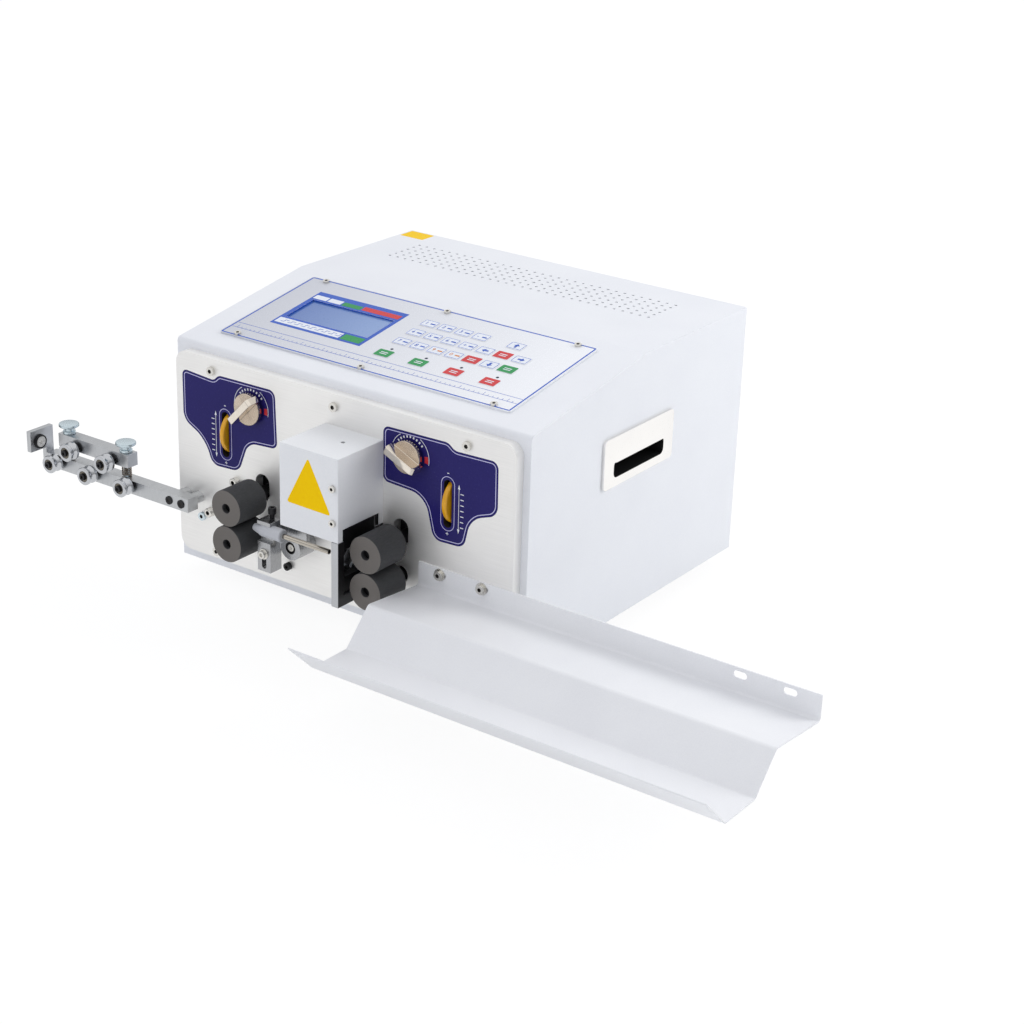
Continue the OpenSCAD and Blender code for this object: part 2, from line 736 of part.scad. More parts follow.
// Upright plate of the blade head, with the window that guides the blade carriers, the bridge
// under the drive motor and the ledge at the lead screw's foot
module cutter_frame() color("silver") difference() {
    union() {
        block([frame_x0, frame_y0, frame_foot_h], [frame_x1, plate_y, cover_z - sheet_gap]);
        block([frame_x0, frame_y0 + cover_t + sheet_gap, cover_z - cut],
            [frame_x1 - cover_t - sheet_gap, plate_y, cover_top_z - cover_t - 4]);
        block([bridge_x0, lead_y - cutter_motor_w / 2, bridge_z],
            [frame_x0 + cut, plate_y, bridge_z + bridge_t]);
        block([lead_x - 6.5, lead_y - 6.5, frame_foot_h], [frame_x0 + cut, plate_y, frame_foot_h + ledge_h]);
    }
    along_x(frame_x0 - cut, frame_x1 + cut)
        translate([(window_y[0] + window_y[1]) / 2, (window_z[0] + window_z[1]) / 2])
            square([window_y[1] - window_y[0], window_z[1] - window_z[0]], center = true);
    translate([lead_x, lead_y, bridge_z - cut]) cylinder(r = lead_r + run_gap, h = bridge_t + 2 * cut);
    translate([lead_x, lead_y, frame_foot_h - cut])
        cylinder(r = lead_end_r + run_gap, h = ledge_h + 2 * cut);
}

// Body of a stepping motor with cut corners, along Z from z = 0, with its shaft bore and its joints
module stepper(w, h, bore_r, bore_h, corner) difference() {
    linear_extrude(h) intersection() {
        square(w, center = true);
        rotate(45) square(sqrt(2) * (w - corner), center = true);
    }
    translate([0, 0, -cut]) cylinder(r = bore_r, h = bore_h + cut);
    for (z = [0.18, 0.78]) translate([0, 0, h * z]) linear_extrude(1) difference() {
        square(2 * w, center = true);
        square(w - 2, center = true);
    }
}

module cutter_motor() color("dimgray") translate([lead_x, lead_y, bridge_z + bridge_t])
    stepper(cutter_motor_w, cutter_motor_h, lead_neck_r + run_gap, 14, 4);

// Turned boss on the plate that carries the guide arm's pivot
module guide_boss() color("silver") translate([pivot.x, 0, pivot.y]) difference() {
    rod_y(boss_r, boss_front_y, plate_y);
    rod_y(pivot_r + run_gap, boss_front_y - cut, plate_y + cut);
}

// Swing arm with its slotted block and clamp around the nozzle
module guide_arm() color("silver") difference() {
    union() {
        along_y(arm_y0, arm_y0 + arm_t) {
            translate(pivot) circle(boss_r);
            translate([guide_block_x[0], pivot.y]) square([pivot.x - guide_block_x[0], boss_r]);
            translate([guide_block_x[0], pivot.y]) square([boss_r * 2, wire_h - pivot.y]);
            translate([guide_block_x[0], wire_h - arm_half_h])
                square([arm_x1 - guide_block_x[0], 2 * arm_half_h]);
        }
        translate([pivot.x, 0, pivot.y]) rod_y(pivot_r, arm_y0 + arm_t - cut, plate_y - free_gap);
        block([guide_block_x[0], guide_block_y0, guide_block_z[0]],
            [guide_block_x[1], arm_y0 + cut, guide_foot_z]);
        block([guide_block_x[0], wire_y + 1, guide_foot_z - cut],
            [guide_block_x[1], arm_y0 + cut, guide_block_z[1]]);
        block([guide_block_x[0], guide_block_y0, wire_h + nozzle_d / 2 - 2],
            [guide_block_x[1], arm_y0 + cut, guide_block_z[1]]);
    }
    translate([0, wire_y, wire_h]) rod_x(nozzle_d / 2 + seat_gap, guide_block_x[0] - cut, arm_x1 + cut);
    along_y(guide_block_y0 - cut, arm_y0 + arm_t + cut)
        translate([guide_mid_x, guide_slot_z]) upright_slot(5, 17);
    translate([pivot.x, 0, pivot.y]) rod_y(pivot_recess[0], arm_y0 - cut, arm_y0 + pivot_recess[1]);
}

// Screws of the guide: in the block's slot with its washer, on the clamp and in the pivot's recess
module guide_screws() color("black") {
    along_y(guide_block_y0 - 1, guide_block_y0) translate([guide_mid_x, guide_screw_z]) circle(5);
    front_screw(guide_mid_x, guide_block_y0 - 1, guide_screw_z, 3.6, 3);
    front_screw(pivot.x, arm_y0 + pivot_recess[1], pivot.y, 3.4, 2);
    translate([guide_mid_x, clamp_screw_y, guide_block_z[1]]) {
        cylinder(r = 2.2, h = 5);
        translate([0, 0, 4]) screw_head(3.6, 6);
    }
}

// Nozzle that reaches into the nip, and the thin pipe that leads the wire to the blades
module guide_pipe() color("gainsboro") translate([0, wire_y, wire_h]) rotate([0, 90, 0])
    rotate_extrude() polygon([
        [pipe_bore_d / 2, nozzle_x[0]], [nozzle_tip_r, nozzle_x[0]],
        [nozzle_d / 2, nozzle_x[0] + nozzle_taper], [nozzle_d / 2, nozzle_x[1] - 1],
        [nozzle_d / 2 - 1, nozzle_x[1]], [pipe_d / 2, nozzle_x[1]],
        [pipe_d / 2, nozzle_x[1] + pipe_len], [pipe_bore_d / 2, nozzle_x[1] + pipe_len]]);

// Lower bar of the straightener, with tapped holes for the thumbscrews
module straightener_bar() color("silver") difference() {
    block([bar_x[0], bar_front_y, bar_z - bar_w / 2], [bar_x[1], bar_back_y, bar_z + bar_w / 2]);
    for (x = thumb_x) translate([x, thumb_y, bar_z - bar_w])
        cylinder(r = thumb_shank_r + run_gap, h = 2 * bar_w);
}

// Plate at the wire's entry, fixed on the bar's end by its foot, with its pressed bush
module inlet_plate() color("silver") {
    difference() {
        union() {
            block([inlet_x - inlet_t, inlet_y[0], inlet_z[0]], [inlet_x, inlet_y[1], inlet_z[1]]);
            block([inlet_x - inlet_t, bar_front_y, bar_z - bar_w / 2], [inlet_x, inlet_y[1], inlet_z[1]]);
        }
        translate([0, wire_y, inlet_hole_z]) rod_x(inlet_hole_r, inlet_x - 2 * inlet_t, inlet_x + cut);
    }
    translate([0, wire_y, inlet_hole_z]) difference() {
        rod_x(inlet_hole_r - seat_gap, inlet_x - inlet_t, inlet_x + inlet_bush_out);
        rod_x(inlet_hole_r - inlet_bush_t, inlet_x - inlet_t - cut, inlet_x + inlet_bush_out + cut);
    }
}

// Upper bar, pressed down by the two thumbscrews against its springs
module straightener_upper_bar() color("silver") difference() {
    block([upper_bar_x[0], bar_front_y, upper_bar_z],
        [upper_bar_x[1], bar_back_y, upper_bar_z + bar_w]);
    for (x = thumb_x) translate([x, thumb_y, upper_bar_z - cut])
        cylinder(r = thumb_shank_r + free_gap, h = bar_w + 2 * cut);
}

module upper_axles() color("black") for (x = upper_roll_x) translate([x, 0, upper_roll_z]) roll_axle();

// Knurled thumbscrew that goes through the upper bar into the lower one
module thumbscrew(x) color("lightsteelblue") translate([x, thumb_y, upper_bar_z + bar_w]) {
    cylinder(r = thumb_collar_r, h = thumb_collar_h);
    cylinder(r = thumb_neck_r, h = thumb_collar_h + thumb_neck_h);
    translate([0, 0, thumb_collar_h + thumb_neck_h]) cylinder(d = thumb_d, h = thumb_h);
    translate([0, 0, bar_z - bar_w / 2 + 4 - upper_bar_z - bar_w])
        cylinder(r = thumb_shank_r, h = upper_bar_z + bar_w * 1.5 - 4 - bar_z + 1);
}

module left_thumbscrew() thumbscrew(thumb_x[0]);
module right_thumbscrew() thumbscrew(thumb_x[1]);

module straightener_springs() color("peru") for (x = thumb_x) translate([x, thumb_y, 0])
    coil_spring(thumb_shank_r + 1.6, 0.6, bar_z + bar_w / 2 + 0.05, upper_bar_z - 0.05, 5);

// Grooved straightener roller
module straightener_roll(x, z) color("gainsboro") translate([x, roll_front_y, z]) rotate([-90, 0, 0])
    rotate_extrude() polygon([
        [bearing_r, 0], [roll_d / 2 - 0.6, 0], [roll_d / 2, 0.6],
        [roll_d / 2, roll_w / 2 - groove_r], [roll_d / 2 - groove_r, roll_w / 2 - 0.5],
        [roll_d / 2 - groove_r, roll_w / 2 + 0.5], [roll_d / 2, roll_w / 2 + groove_r],
        [roll_d / 2, roll_w - 0.6], [roll_d / 2 - 0.6, roll_w], [axle_r + run_gap, roll_w],
        [axle_r + run_gap, 1.4], [bearing_r, 1.4]]);

module lower_roll_a() straightener_roll(lower_roll_x[0], lower_roll_z);
module lower_roll_b() straightener_roll(lower_roll_x[1], lower_roll_z);
module lower_roll_c() straightener_roll(lower_roll_x[2], lower_roll_z);
module upper_roll_a() straightener_roll(upper_roll_x[0], upper_roll_z);
module upper_roll_b() straightener_roll(upper_roll_x[1], upper_roll_z);

// Bent collecting tray, slotted at both ends so that it can hang on either hand
module wire_tray() color("white") difference() {
    along_x(tray_x[0], tray_x[1]) polygon(concat(tray_path, reversed(moved_path(tray_path, -tray_t))));
    along_y(tray_face_y - cut, plate_y + cut) for (x = slot_x) translate([x, slot_z])
        rotate(90) upright_slot(slot_w, slot_len);
}

// Housings that guide the carriages and carry the lower shafts and cross shafts, with the
// brackets that hold the motors behind them
module feed_mount(x) translate([x, 0, 0]) {
    sill_z = upper_z - carriage_h / 2 - stop_gap;
    cheek_top_z = carriage_top_z + lift + 2;
    difference() {
        union() {
            block([-housing_half, front_y, lower_z - housing_foot],
                [housing_half, housing_back_y, cheek_top_z]);
            for (side = [-1, 1]) translate([side * (housing_half - cheek_t / 2), front_y + ear_d / 2, 0])
                translate([-cheek_t / 2, -ear_d / 2, cheek_top_z - cut])
                    cube([cheek_t, ear_d, wheel_z + ear_top - cheek_top_z + cut]);
        }
        block([-carriage_w / 2 - free_gap, front_y - cut, sill_z],
            [carriage_w / 2 + free_gap, housing_back_y + cut, wheel_z + ear_top + cut]);
        translate([0, 0, lower_z]) rod_y(shaft_r + run_gap, front_y - cut, housing_back_y + cut);
        translate([0, wheel_axis_y, wheel_z])
            rod_x(cross_r + run_gap, -housing_half - cut, housing_half + cut);
    }
    difference() {
        block([-motor_w / 2 - 4, bracket_y, floor_z + sheet_t],
            [motor_w / 2 + 4, motor_y, lower_z + motor_w / 2]);
        translate([0, 0, lower_z]) rod_y(motor_pilot_r, bracket_y - cut, motor_y + cut);
    }
}

module feed_mounts() color("silver") for (x = [left_x, right_x]) feed_mount(x);

module feed_motors() color("dimgray") for (x = [left_x, right_x])
    translate([x, motor_y, lower_z]) rotate([-90, 0, 0])
        stepper(motor_w, motor_len, motor_shaft_r + run_gap, motor_shaft_in + 4, motor_corner);

// Rubber sleeve of a feed roller, closed at its front but for the hole of its screw
module feed_roller(x, z) color("dimgray") translate([x, 0, z]) difference() {
    rod_y(roller_d / 2, roller_front_y, roller_back_y);
    rod_y(roller_face_r, roller_front_y - cut, roller_back_y + cut);
    rod_y(shaft_r + seat_gap, roller_front_y + shaft_end_gap - seat_gap, roller_back_y + cut);
}

module left_lower_roller() feed_roller(left_x, lower_z);
module left_upper_roller() feed_roller(left_x, upper_z);
module right_lower_roller() feed_roller(right_x, lower_z);
module right_upper_roller() feed_roller(right_x, upper_z);

// Roller shaft with its gear; the lower one also ends in the coupling on the motor's shaft
module geared_shaft(z, turn) {
    pitch_r = gear_module * gear_teeth / 2;
    translate([0, 0, z]) {
        rod_y(shaft_r, roller_front_y + shaft_end_gap, gear_y + gear_w + 2);
        along_y(gear_y, gear_y + gear_w) rotate(turn) gear_outline(pitch_r, gear_teeth);
    }
}

module lower_shaft(x) color("slategray") translate([x, 0, 0]) {
    geared_shaft(lower_z, 90);
    translate([0, 0, lower_z]) {
        rod_y(shaft_r, gear_y, coupling_y + cut);
        rod_y(coupling_r, coupling_y, coupling_y + coupling_len);
        rod_y(motor_shaft_r, coupling_y, motor_y + motor_shaft_in);
    }
}

module upper_shaft(x) color("slategray") translate([x, 0, 0])
    geared_shaft(upper_z, -90 + 180 / gear_teeth);

module left_lower_shaft() lower_shaft(left_x);
module left_upper_shaft() upper_shaft(left_x);
module right_lower_shaft() lower_shaft(right_x);
module right_upper_shaft() upper_shaft(right_x);

// Sliding bearing block of an upper roller, with the frame that the knob's eccentric lifts
module carriage(x, knob_x) color("silver") difference() {
    outer = lift_window + lift_frame_w;
    follower_z = knob_z - cam_throw + cam_r + free_gap;
    union() {
        block([x - carriage_w / 2, carriage_front_y, upper_z - carriage_h / 2],
            [x + carriage_w / 2, housing_back_y, carriage_top_z]);
        along_y(lift_y, lift_y + lift_t) difference() {
            union() {
                translate([x - lift_stem_w / 2, carriage_top_z - cut])
                    square([lift_stem_w, knob_z - lift_window - carriage_top_z + cut]);
                translate([min(x, knob_x) - outer, knob_z - lift_window - lift_frame_w])
                    square([abs(x - knob_x) + 2 * outer, lift_frame_w]);
                translate([knob_x - outer, knob_z - lift_window - lift_frame_w])
                    square([2 * outer, follower_z - knob_z + lift_window + 2 * lift_frame_w]);
            }
            translate([knob_x - lift_window, knob_z - lift_window])
                square([2 * lift_window, follower_z - knob_z + lift_window]);
        }
    }
    translate([x, 0, upper_z]) rod_y(shaft_r + run_gap, carriage_front_y - cut, housing_back_y + cut);
}

module left_carriage() carriage(left_x, left_knob_x);
module right_carriage() carriage(right_x, right_knob_x);

module pressure_spring(x) color("silver") translate([x, wheel_axis_y, 0])
    coil_spring(spring_r, spring_wire_r, carriage_top_z + 0.05, spring_top_z, 6);

module left_pressure_spring() pressure_spring(left_x);
module right_pressure_spring() pressure_spring(right_x);

// Cast lift knob: a disc with a tall grip across it
module lift_knob(x, grip_a) color("silver") translate([x, plate_y - knob_sleeve_h, knob_z])
    rotate([90, 0, 0]) rotate(grip_a) difference() {
        union() {
            cylinder(d = knob_d, h = knob_disc_h);
            translate([0, grip_t / 2, knob_disc_h]) rotate([90, 0, 0]) linear_extrude(grip_t) polygon([
                [-grip_len / 2, -2], [grip_len / 2, -2], [grip_len / 2 - 1, grip_h - 2],
                [grip_len / 2 - 3, grip_h], [-grip_len / 2 + 3, grip_h], [-grip_len / 2 + 1, grip_h - 2]]);
        }
        translate([0, 0, -cut]) cylinder(r = spindle_r + seat_gap, h = knob_disc_h - knob_face_t + cut);
    }

module left_lift_knob() lift_knob(left_knob_x, left_grip_a);
module right_lift_knob() lift_knob(right_knob_x, right_grip_a);

// Spindle of a lift knob with its sleeve in front of the plate and its eccentric behind it
module lift_cam(x) color("dimgray") translate([x, 0, knob_z]) {
    rod_y(spindle_r, plate_y - knob_sleeve_h - knob_disc_h + knob_face_t, lift_y + lift_t + 2);
    rod_y(knob_sleeve_r, plate_y - knob_sleeve_h, plate_y);
    translate([0, 0, -cam_throw]) rod_y(cam_r, lift_y, lift_y + lift_t);
}

module left_lift_cam() lift_cam(left_knob_x);
module right_lift_cam() lift_cam(right_knob_x);

// Thumbwheel that shows through the slot of the plate
module thumbwheel(x) color("gold") translate([x - wheel_w / 2, wheel_axis_y, wheel_z]) rotate([0, 90, 0])
    rotate_extrude() polygon([
        [cross_r + seat_gap, 0], [wheel_d / 2 - 1, 0], [wheel_d / 2, 1], [wheel_d / 2, wheel_w - 1],
        [wheel_d / 2 - 1, wheel_w], [cross_r + seat_gap, wheel_w]]);

module left_thumbwheel() thumbwheel(left_wheel_x);
module right_thumbwheel() thumbwheel(right_wheel_x);

// Cross shaft from the thumbwheel to the eccentric above the pressure spring
module pressure_shaft(x, wheel_x) color("slategray") translate([0, wheel_axis_y, wheel_z]) {
    side = sign(wheel_x - x);
    ends = [x - side * (housing_half + 3), wheel_x + side * (wheel_w / 2 + 2)];
    rod_x(cross_r, min(ends), max(ends));
    translate([0, 0, -eccentric_throw]) rod_x(eccentric_r, x - eccentric_w / 2, x + eccentric_w / 2);
}

module left_pressure_shaft() pressure_shaft(left_x, left_wheel_x);
module right_pressure_shaft() pressure_shaft(right_x, right_wheel_x);

// Lead screw with opposite threads for the two blade carriers
module lead_screw() color("silver") translate([lead_x, lead_y, 0]) {
    translate([0, 0, frame_foot_h]) cylinder(r = lead_end_r, h = ledge_h + 2);
    translate([0, 0, frame_foot_h + ledge_h + 1])
        cylinder(r = lead_r, h = bridge_z + bridge_t - frame_foot_h - ledge_h - 1.5);
    translate([0, 0, bridge_z]) cylinder(r = lead_neck_r, h = bridge_t + 12);
}

// Carrier on the lead screw, slotted for both blades, with the tongue that runs in the frame's window
module blade_carrier(z) color("black") difference() {
    union() {
        translate([0, 0, z[0]]) linear_extrude(z[1] - z[0]) polygon([
            [carrier_x0, carrier_y[1]], [carrier_x0, carrier_y[0] + carrier_cut],
            [carrier_x0 + carrier_cut, carrier_y[0]], [frame_x0 - free_gap, carrier_y[0]],
            [frame_x0 - free_gap, carrier_y[1]]]);
        block([blade_x - blade_clamp_t, wire_y - blade_w / 2, z[0]], [blade_x, carrier_y[0] + cut, z[1]]);
        block([tongue_x[0], tongue_y[0], z[0]], [tongue_x[1], tongue_y[1], z[1]]);
    }
    block([blade_x - seat_gap, tongue_y[0] - cut, z[0] - cut],
        [tongue_x[0], wire_y + blade_w / 2 + free_gap, z[1] + cut]);
    translate([lead_x, lead_y, z[0] - cut]) cylinder(r = lead_r + run_gap, h = z[1] - z[0] + 2 * cut);
}

module upper_blade_carrier() blade_carrier(upper_carrier_z);
module lower_blade_carrier() blade_carrier(lower_carrier_z);

// Blade with a V notch towards the wire, screwed to its carrier
module blade(x, from_z, to_z) color("lightgray") along_x(x, x + blade_t) {
    way = sign(to_z - from_z);
    polygon([
        [wire_y - blade_w / 2, from_z], [wire_y + blade_w / 2, from_z],
        [wire_y + blade_w / 2, to_z], [wire_y + blade_notch, to_z],
        [wire_y, to_z - way * blade_notch], [wire_y - blade_notch, to_z],
        [wire_y - blade_w / 2, to_z]]);
}

module upper_blade() blade(blade_x, upper_carrier_z[1], wire_h + blade_gap);
module lower_blade() blade(tongue_x[0] - seat_gap - blade_t, lower_carrier_z[0], wire_h - blade_gap);

// Mains inlet module in the back panel
module power_inlet() color("black") difference() {
    union() {
        along_y(back_y - 28, back_y) translate(inlet_mid) square(inlet_size, center = true);
        along_y(back_y, back_y + 3) translate(inlet_mid) rounded_rect(inlet_size.x + 8, inlet_size.y + 8, 2);
    }
    along_y(back_y - 16, back_y + 4)
        translate([inlet_mid.x, inlet_mid.y - 10]) square([24, 17], center = true);
    along_y(back_y - 8, back_y + 4) translate([inlet_mid.x, rocker_z])
        square(rocker_size + [free_gap, free_gap] * 2, center = true);
}

// Rocker of the mains switch on its pivot pin, tilted to its off side
module power_rocker() color("darkred") translate([inlet_mid.x, back_y, rocker_z]) {
    along_x(-rocker_size.x / 2, rocker_size.x / 2) polygon([
        [-4, -rocker_size.y / 2 + 1.8], [-4, rocker_size.y / 2 - 1.8], [3, rocker_size.y / 2 - 1],
        [4.2, 0], [5, -rocker_size.y / 2 + 1]]);
    pin_half = rocker_size.x / 2 + free_gap - run_gap;
    rod_x(rocker_pin_r, -pin_half, pin_half);
}

// Sheet cover of the power supply on the pan, slotted on its top
module power_supply() color("silver")
    translate([supply_mid.x, supply_mid.y, floor_z + sheet_t]) difference() {
        half = [supply_size.x / 2, supply_size.y / 2];
        block([-half.x, -half.y, 0], [half.x, half.y, supply_size.z]);
        block([sheet_t - half.x, sheet_t - half.y, -cut],
            [half.x - sheet_t, half.y - sheet_t, supply_size.z - sheet_t]);
        for (i = [0:supply_slots - 1])
            translate([(i - (supply_slots - 1) / 2) * supply_slot_pitch, 0, supply_size.z])
                cube([supply_slot.x, supply_slot.y, 4 * sheet_t], center = true);
    }

// Control board on its spacers, with the drivers' heat sinks, the capacitors and a relay
module control_board() color("seagreen")
    translate([board_mid.x, board_mid.y, floor_z + sheet_t]) {
        half = [board_size.x / 2, board_size.y / 2];
        root_z = spacer_h + board_size.z / 2;
        translate([-half.x, -half.y, spacer_h]) cube(board_size);
        for (x = [-1, 1]) for (y = [-1, 1])
            translate([x * (half.x - board_edge), y * (half.y - board_edge), 0])
                cylinder(r = board_spacer_r, h = spacer_h + board_size.z / 2);
        for (i = [-1:1])
            translate([i * sink_pitch - sink_size.x / 2, board_edge - half.y, root_z])
                cube(sink_size);
        for (i = [0, 1])
            translate([i * capacitor_pitch - half.x / 2, half.y / 2, root_z])
                cylinder(r = capacitor_r, h = capacitor_h);
        translate([board_edge, half.y - relay_size.y - board_edge, root_z]) cube(relay_size);
    }

base_pan();
case_shell();
rear_panel();
front_plate();
fasteners();
rubber_feet();
control_panel();
display();
side_handles();
cutter_cover();
cutter_frame();
cutter_motor();
guide_boss();
straightener_bar();
inlet_plate();
wire_tray();
feed_mounts();
feed_motors();
power_inlet();
power_supply();
control_board();
left_pressure_spring();
right_pressure_spring();
straightener_springs();
left_lift_knob();
left_lift_cam();
right_lift_knob();
right_lift_cam();
left_thumbwheel();
left_pressure_shaft();
right_thumbwheel();
right_pressure_shaft();
left_lower_roller();
left_upper_roller();
right_lower_roller();
right_upper_roller();
left_lower_shaft();
left_upper_shaft();
right_lower_shaft();
right_upper_shaft();
left_carriage();
right_carriage();
lead_screw();
upper_blade_carrier();
upper_blade();
lower_blade_carrier();
lower_blade();
guide_arm();
guide_screws();
guide_pipe();
straightener_upper_bar();
upper_axles();
left_thumbscrew();
right_thumbscrew();
lower_roll_a();
lower_roll_b();
lower_roll_c();
upper_roll_a();
upper_roll_b();
power_rocker();
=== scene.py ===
import json
import math

import bmesh
import bpy
from mathutils import Matrix, Vector

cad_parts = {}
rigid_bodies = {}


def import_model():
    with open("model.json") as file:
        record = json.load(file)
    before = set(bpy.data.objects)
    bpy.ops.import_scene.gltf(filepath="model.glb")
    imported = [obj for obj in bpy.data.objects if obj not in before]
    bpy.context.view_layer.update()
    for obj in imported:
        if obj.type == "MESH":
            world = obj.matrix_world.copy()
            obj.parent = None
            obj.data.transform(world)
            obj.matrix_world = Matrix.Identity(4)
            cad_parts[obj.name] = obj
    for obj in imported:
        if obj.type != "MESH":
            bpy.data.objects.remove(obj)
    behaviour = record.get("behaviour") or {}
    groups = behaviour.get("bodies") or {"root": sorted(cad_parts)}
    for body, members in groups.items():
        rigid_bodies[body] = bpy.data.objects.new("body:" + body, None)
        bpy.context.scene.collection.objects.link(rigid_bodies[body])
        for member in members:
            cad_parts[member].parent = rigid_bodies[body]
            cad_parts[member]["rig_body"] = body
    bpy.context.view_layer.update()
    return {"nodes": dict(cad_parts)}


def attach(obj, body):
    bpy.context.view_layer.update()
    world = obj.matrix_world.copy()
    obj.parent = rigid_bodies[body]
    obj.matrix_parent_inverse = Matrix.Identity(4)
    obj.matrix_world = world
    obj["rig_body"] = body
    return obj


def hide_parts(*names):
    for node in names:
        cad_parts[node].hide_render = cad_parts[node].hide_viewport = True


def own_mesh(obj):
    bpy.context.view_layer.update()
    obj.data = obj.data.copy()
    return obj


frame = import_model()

MM = 0.001

# Camera
# A long lens on a stand in front of the machine, to its right and a little above it, so that the
# front plate, the sloping panel, the top and the right side all show.
camera = bpy.data.objects.new("camera", bpy.data.cameras.new("camera"))
camera.location = (1.10893477, -1.50050355, 0.84407164)
camera.rotation_euler = [math.radians(turn) for turn in (67.06623, -1.73693, 35.72293)]
camera.data.sensor_fit = "HORIZONTAL"
camera.data.sensor_width = 36
camera.data.lens = 75.7
bpy.context.scene.collection.objects.link(camera)
bpy.context.scene.camera = camera

# Studio
# A white paper sweep in a light tent that is dimmer on its right, with one soft lamp on the right
# and behind. What shines sees the tent darker near the floor, which draws the edges of bright metal.
bpy.context.scene.view_settings.view_transform = "Standard"


def linear(hex_colour):
    """An sRGB hex colour as the linear colour that a socket takes."""
    channels = [int(hex_colour[i:i + 2], 16) / 255 for i in (1, 3, 5)]
    return [c / 12.92 if c <= 0.04045 else ((c + 0.055) / 1.055) ** 2.4 for c in channels] + [1.0]


def add(tree, kind, sockets=None, **settings):
    """Adds a node with its settings; a socket is given a value, or the output that feeds it."""
    made = tree.nodes.new(kind)
    for name, value in settings.items():
        setattr(made, name, value)
    for name, value in (sockets or {}).items():
        if isinstance(value, bpy.types.NodeSocket):
            tree.links.new(value, made.inputs[name])
        else:
            made.inputs[name].default_value = value
    return made


def empty_tree(owner):
    """The owner's node tree with nothing in it."""
    owner.use_nodes = True
    owner.node_tree.nodes.clear()
    return owner.node_tree


# White paper: matt, and seen a little brighter than it is lit, so that it runs into the background
paper = bpy.data.materials.new("white_paper")
tree = empty_tree(paper)
rays = add(tree, "ShaderNodeLightPath").outputs
looked_at = add(tree, "ShaderNodeMath", {0: rays["Is Camera Ray"], 1: rays["Is Glossy Ray"]},
                operation="MAXIMUM")
share = add(tree, "ShaderNodeMath", {0: looked_at.outputs[0], 1: 0.86}, operation="MULTIPLY")
matt = add(tree, "ShaderNodeBsdfDiffuse", {"Color": linear("#f6f7f8")})
glow = add(tree, "ShaderNodeEmission", {"Color": linear("#ffffff"), "Strength": 1.05})
mixed = add(tree, "ShaderNodeMixShader", {0: share.outputs[0], 1: matt.outputs[0], 2: glow.outputs[0]})
add(tree, "ShaderNodeOutputMaterial", {"Surface": mixed.outputs[0]})

floor_shape = bmesh.new()
bmesh.ops.create_grid(floor_shape, x_segments=1, y_segments=1, size=8)
floor_mesh = bpy.data.meshes.new("paper_sweep")
floor_shape.to_mesh(floor_mesh)
floor_shape.free()
floor_mesh.materials.append(paper)
paper_sweep = bpy.data.objects.new("paper_sweep", floor_mesh)
bpy.context.scene.collection.objects.link(paper_sweep)

room = bpy.data.worlds.new("light_tent")
bpy.context.scene.world = room
tree = empty_tree(room)
rays = add(tree, "ShaderNodeLightPath").outputs
way = add(tree, "ShaderNodeTexCoord").outputs["Generated"]
aim = add(tree, "ShaderNodeSeparateXYZ", {"Vector": way}).outputs
rise = add(tree, "ShaderNodeMapRange", {"Value": aim["Z"], "From Min": -0.05, "From Max": 0.5})
walls = add(tree, "ShaderNodeMix", {0: rise.outputs[0], 6: linear("#6a6c70"), 7: linear("#ffffff")},
            data_type="RGBA")
mirrored = add(tree, "ShaderNodeBackground", {"Color": walls.outputs[2], "Strength": 1.05})
level = add(tree, "ShaderNodeMapRange",
            {"Value": aim["X"], "From Min": -0.2, "From Max": 0.7, "To Min": 1.11, "To Max": 0.27},
            interpolation_type="SMOOTHSTEP")
ambient = add(tree, "ShaderNodeBackground", {"Color": linear("#fafbff"), "Strength": level.outputs[0]})
tent = add(tree, "ShaderNodeMixShader",
           {0: rays["Is Glossy Ray"], 1: ambient.outputs[0], 2: mirrored.outputs[0]})
white = add(tree, "ShaderNodeBackground", {"Color": linear("#ffffff"), "Strength": 1.0})
behind = add(tree, "ShaderNodeMixShader",
             {0: rays["Is Camera Ray"], 1: tent.outputs[0], 2: white.outputs[0]})
add(tree, "ShaderNodeOutputWorld", {"Surface": behind.outputs[0]})


def lamp(name, place, aim, size, watts):
    """A square soft lamp that looks at a point and leaves no glare of its own."""
    light = bpy.data.lights.new(name, "AREA")
    light.size = size
    light.energy = watts
    made = bpy.data.objects.new(name, light)
    made.location = place
    made.rotation_euler = (Vector(aim) - Vector(place)).to_track_quat("-Z", "Y").to_euler()
    made.visible_glossy = False
    bpy.context.scene.collection.objects.link(made)


lamp("softbox", (2.1, 1.3, 1.55), (0.0, 0.0, 0.1), 1.4, 34)

# Folded case
# Two-piece sheet steel housing: the shell is folded over the slope and the top, and the pan closes
# it below. Both are powder coated and held by screws at the back.
# Broad clouds in a finish are 70 mm wide, and rings at a scale of 1 lie a tenth of pi apart
CLOUD = 70
WAVE_LENGTH = math.pi / 10


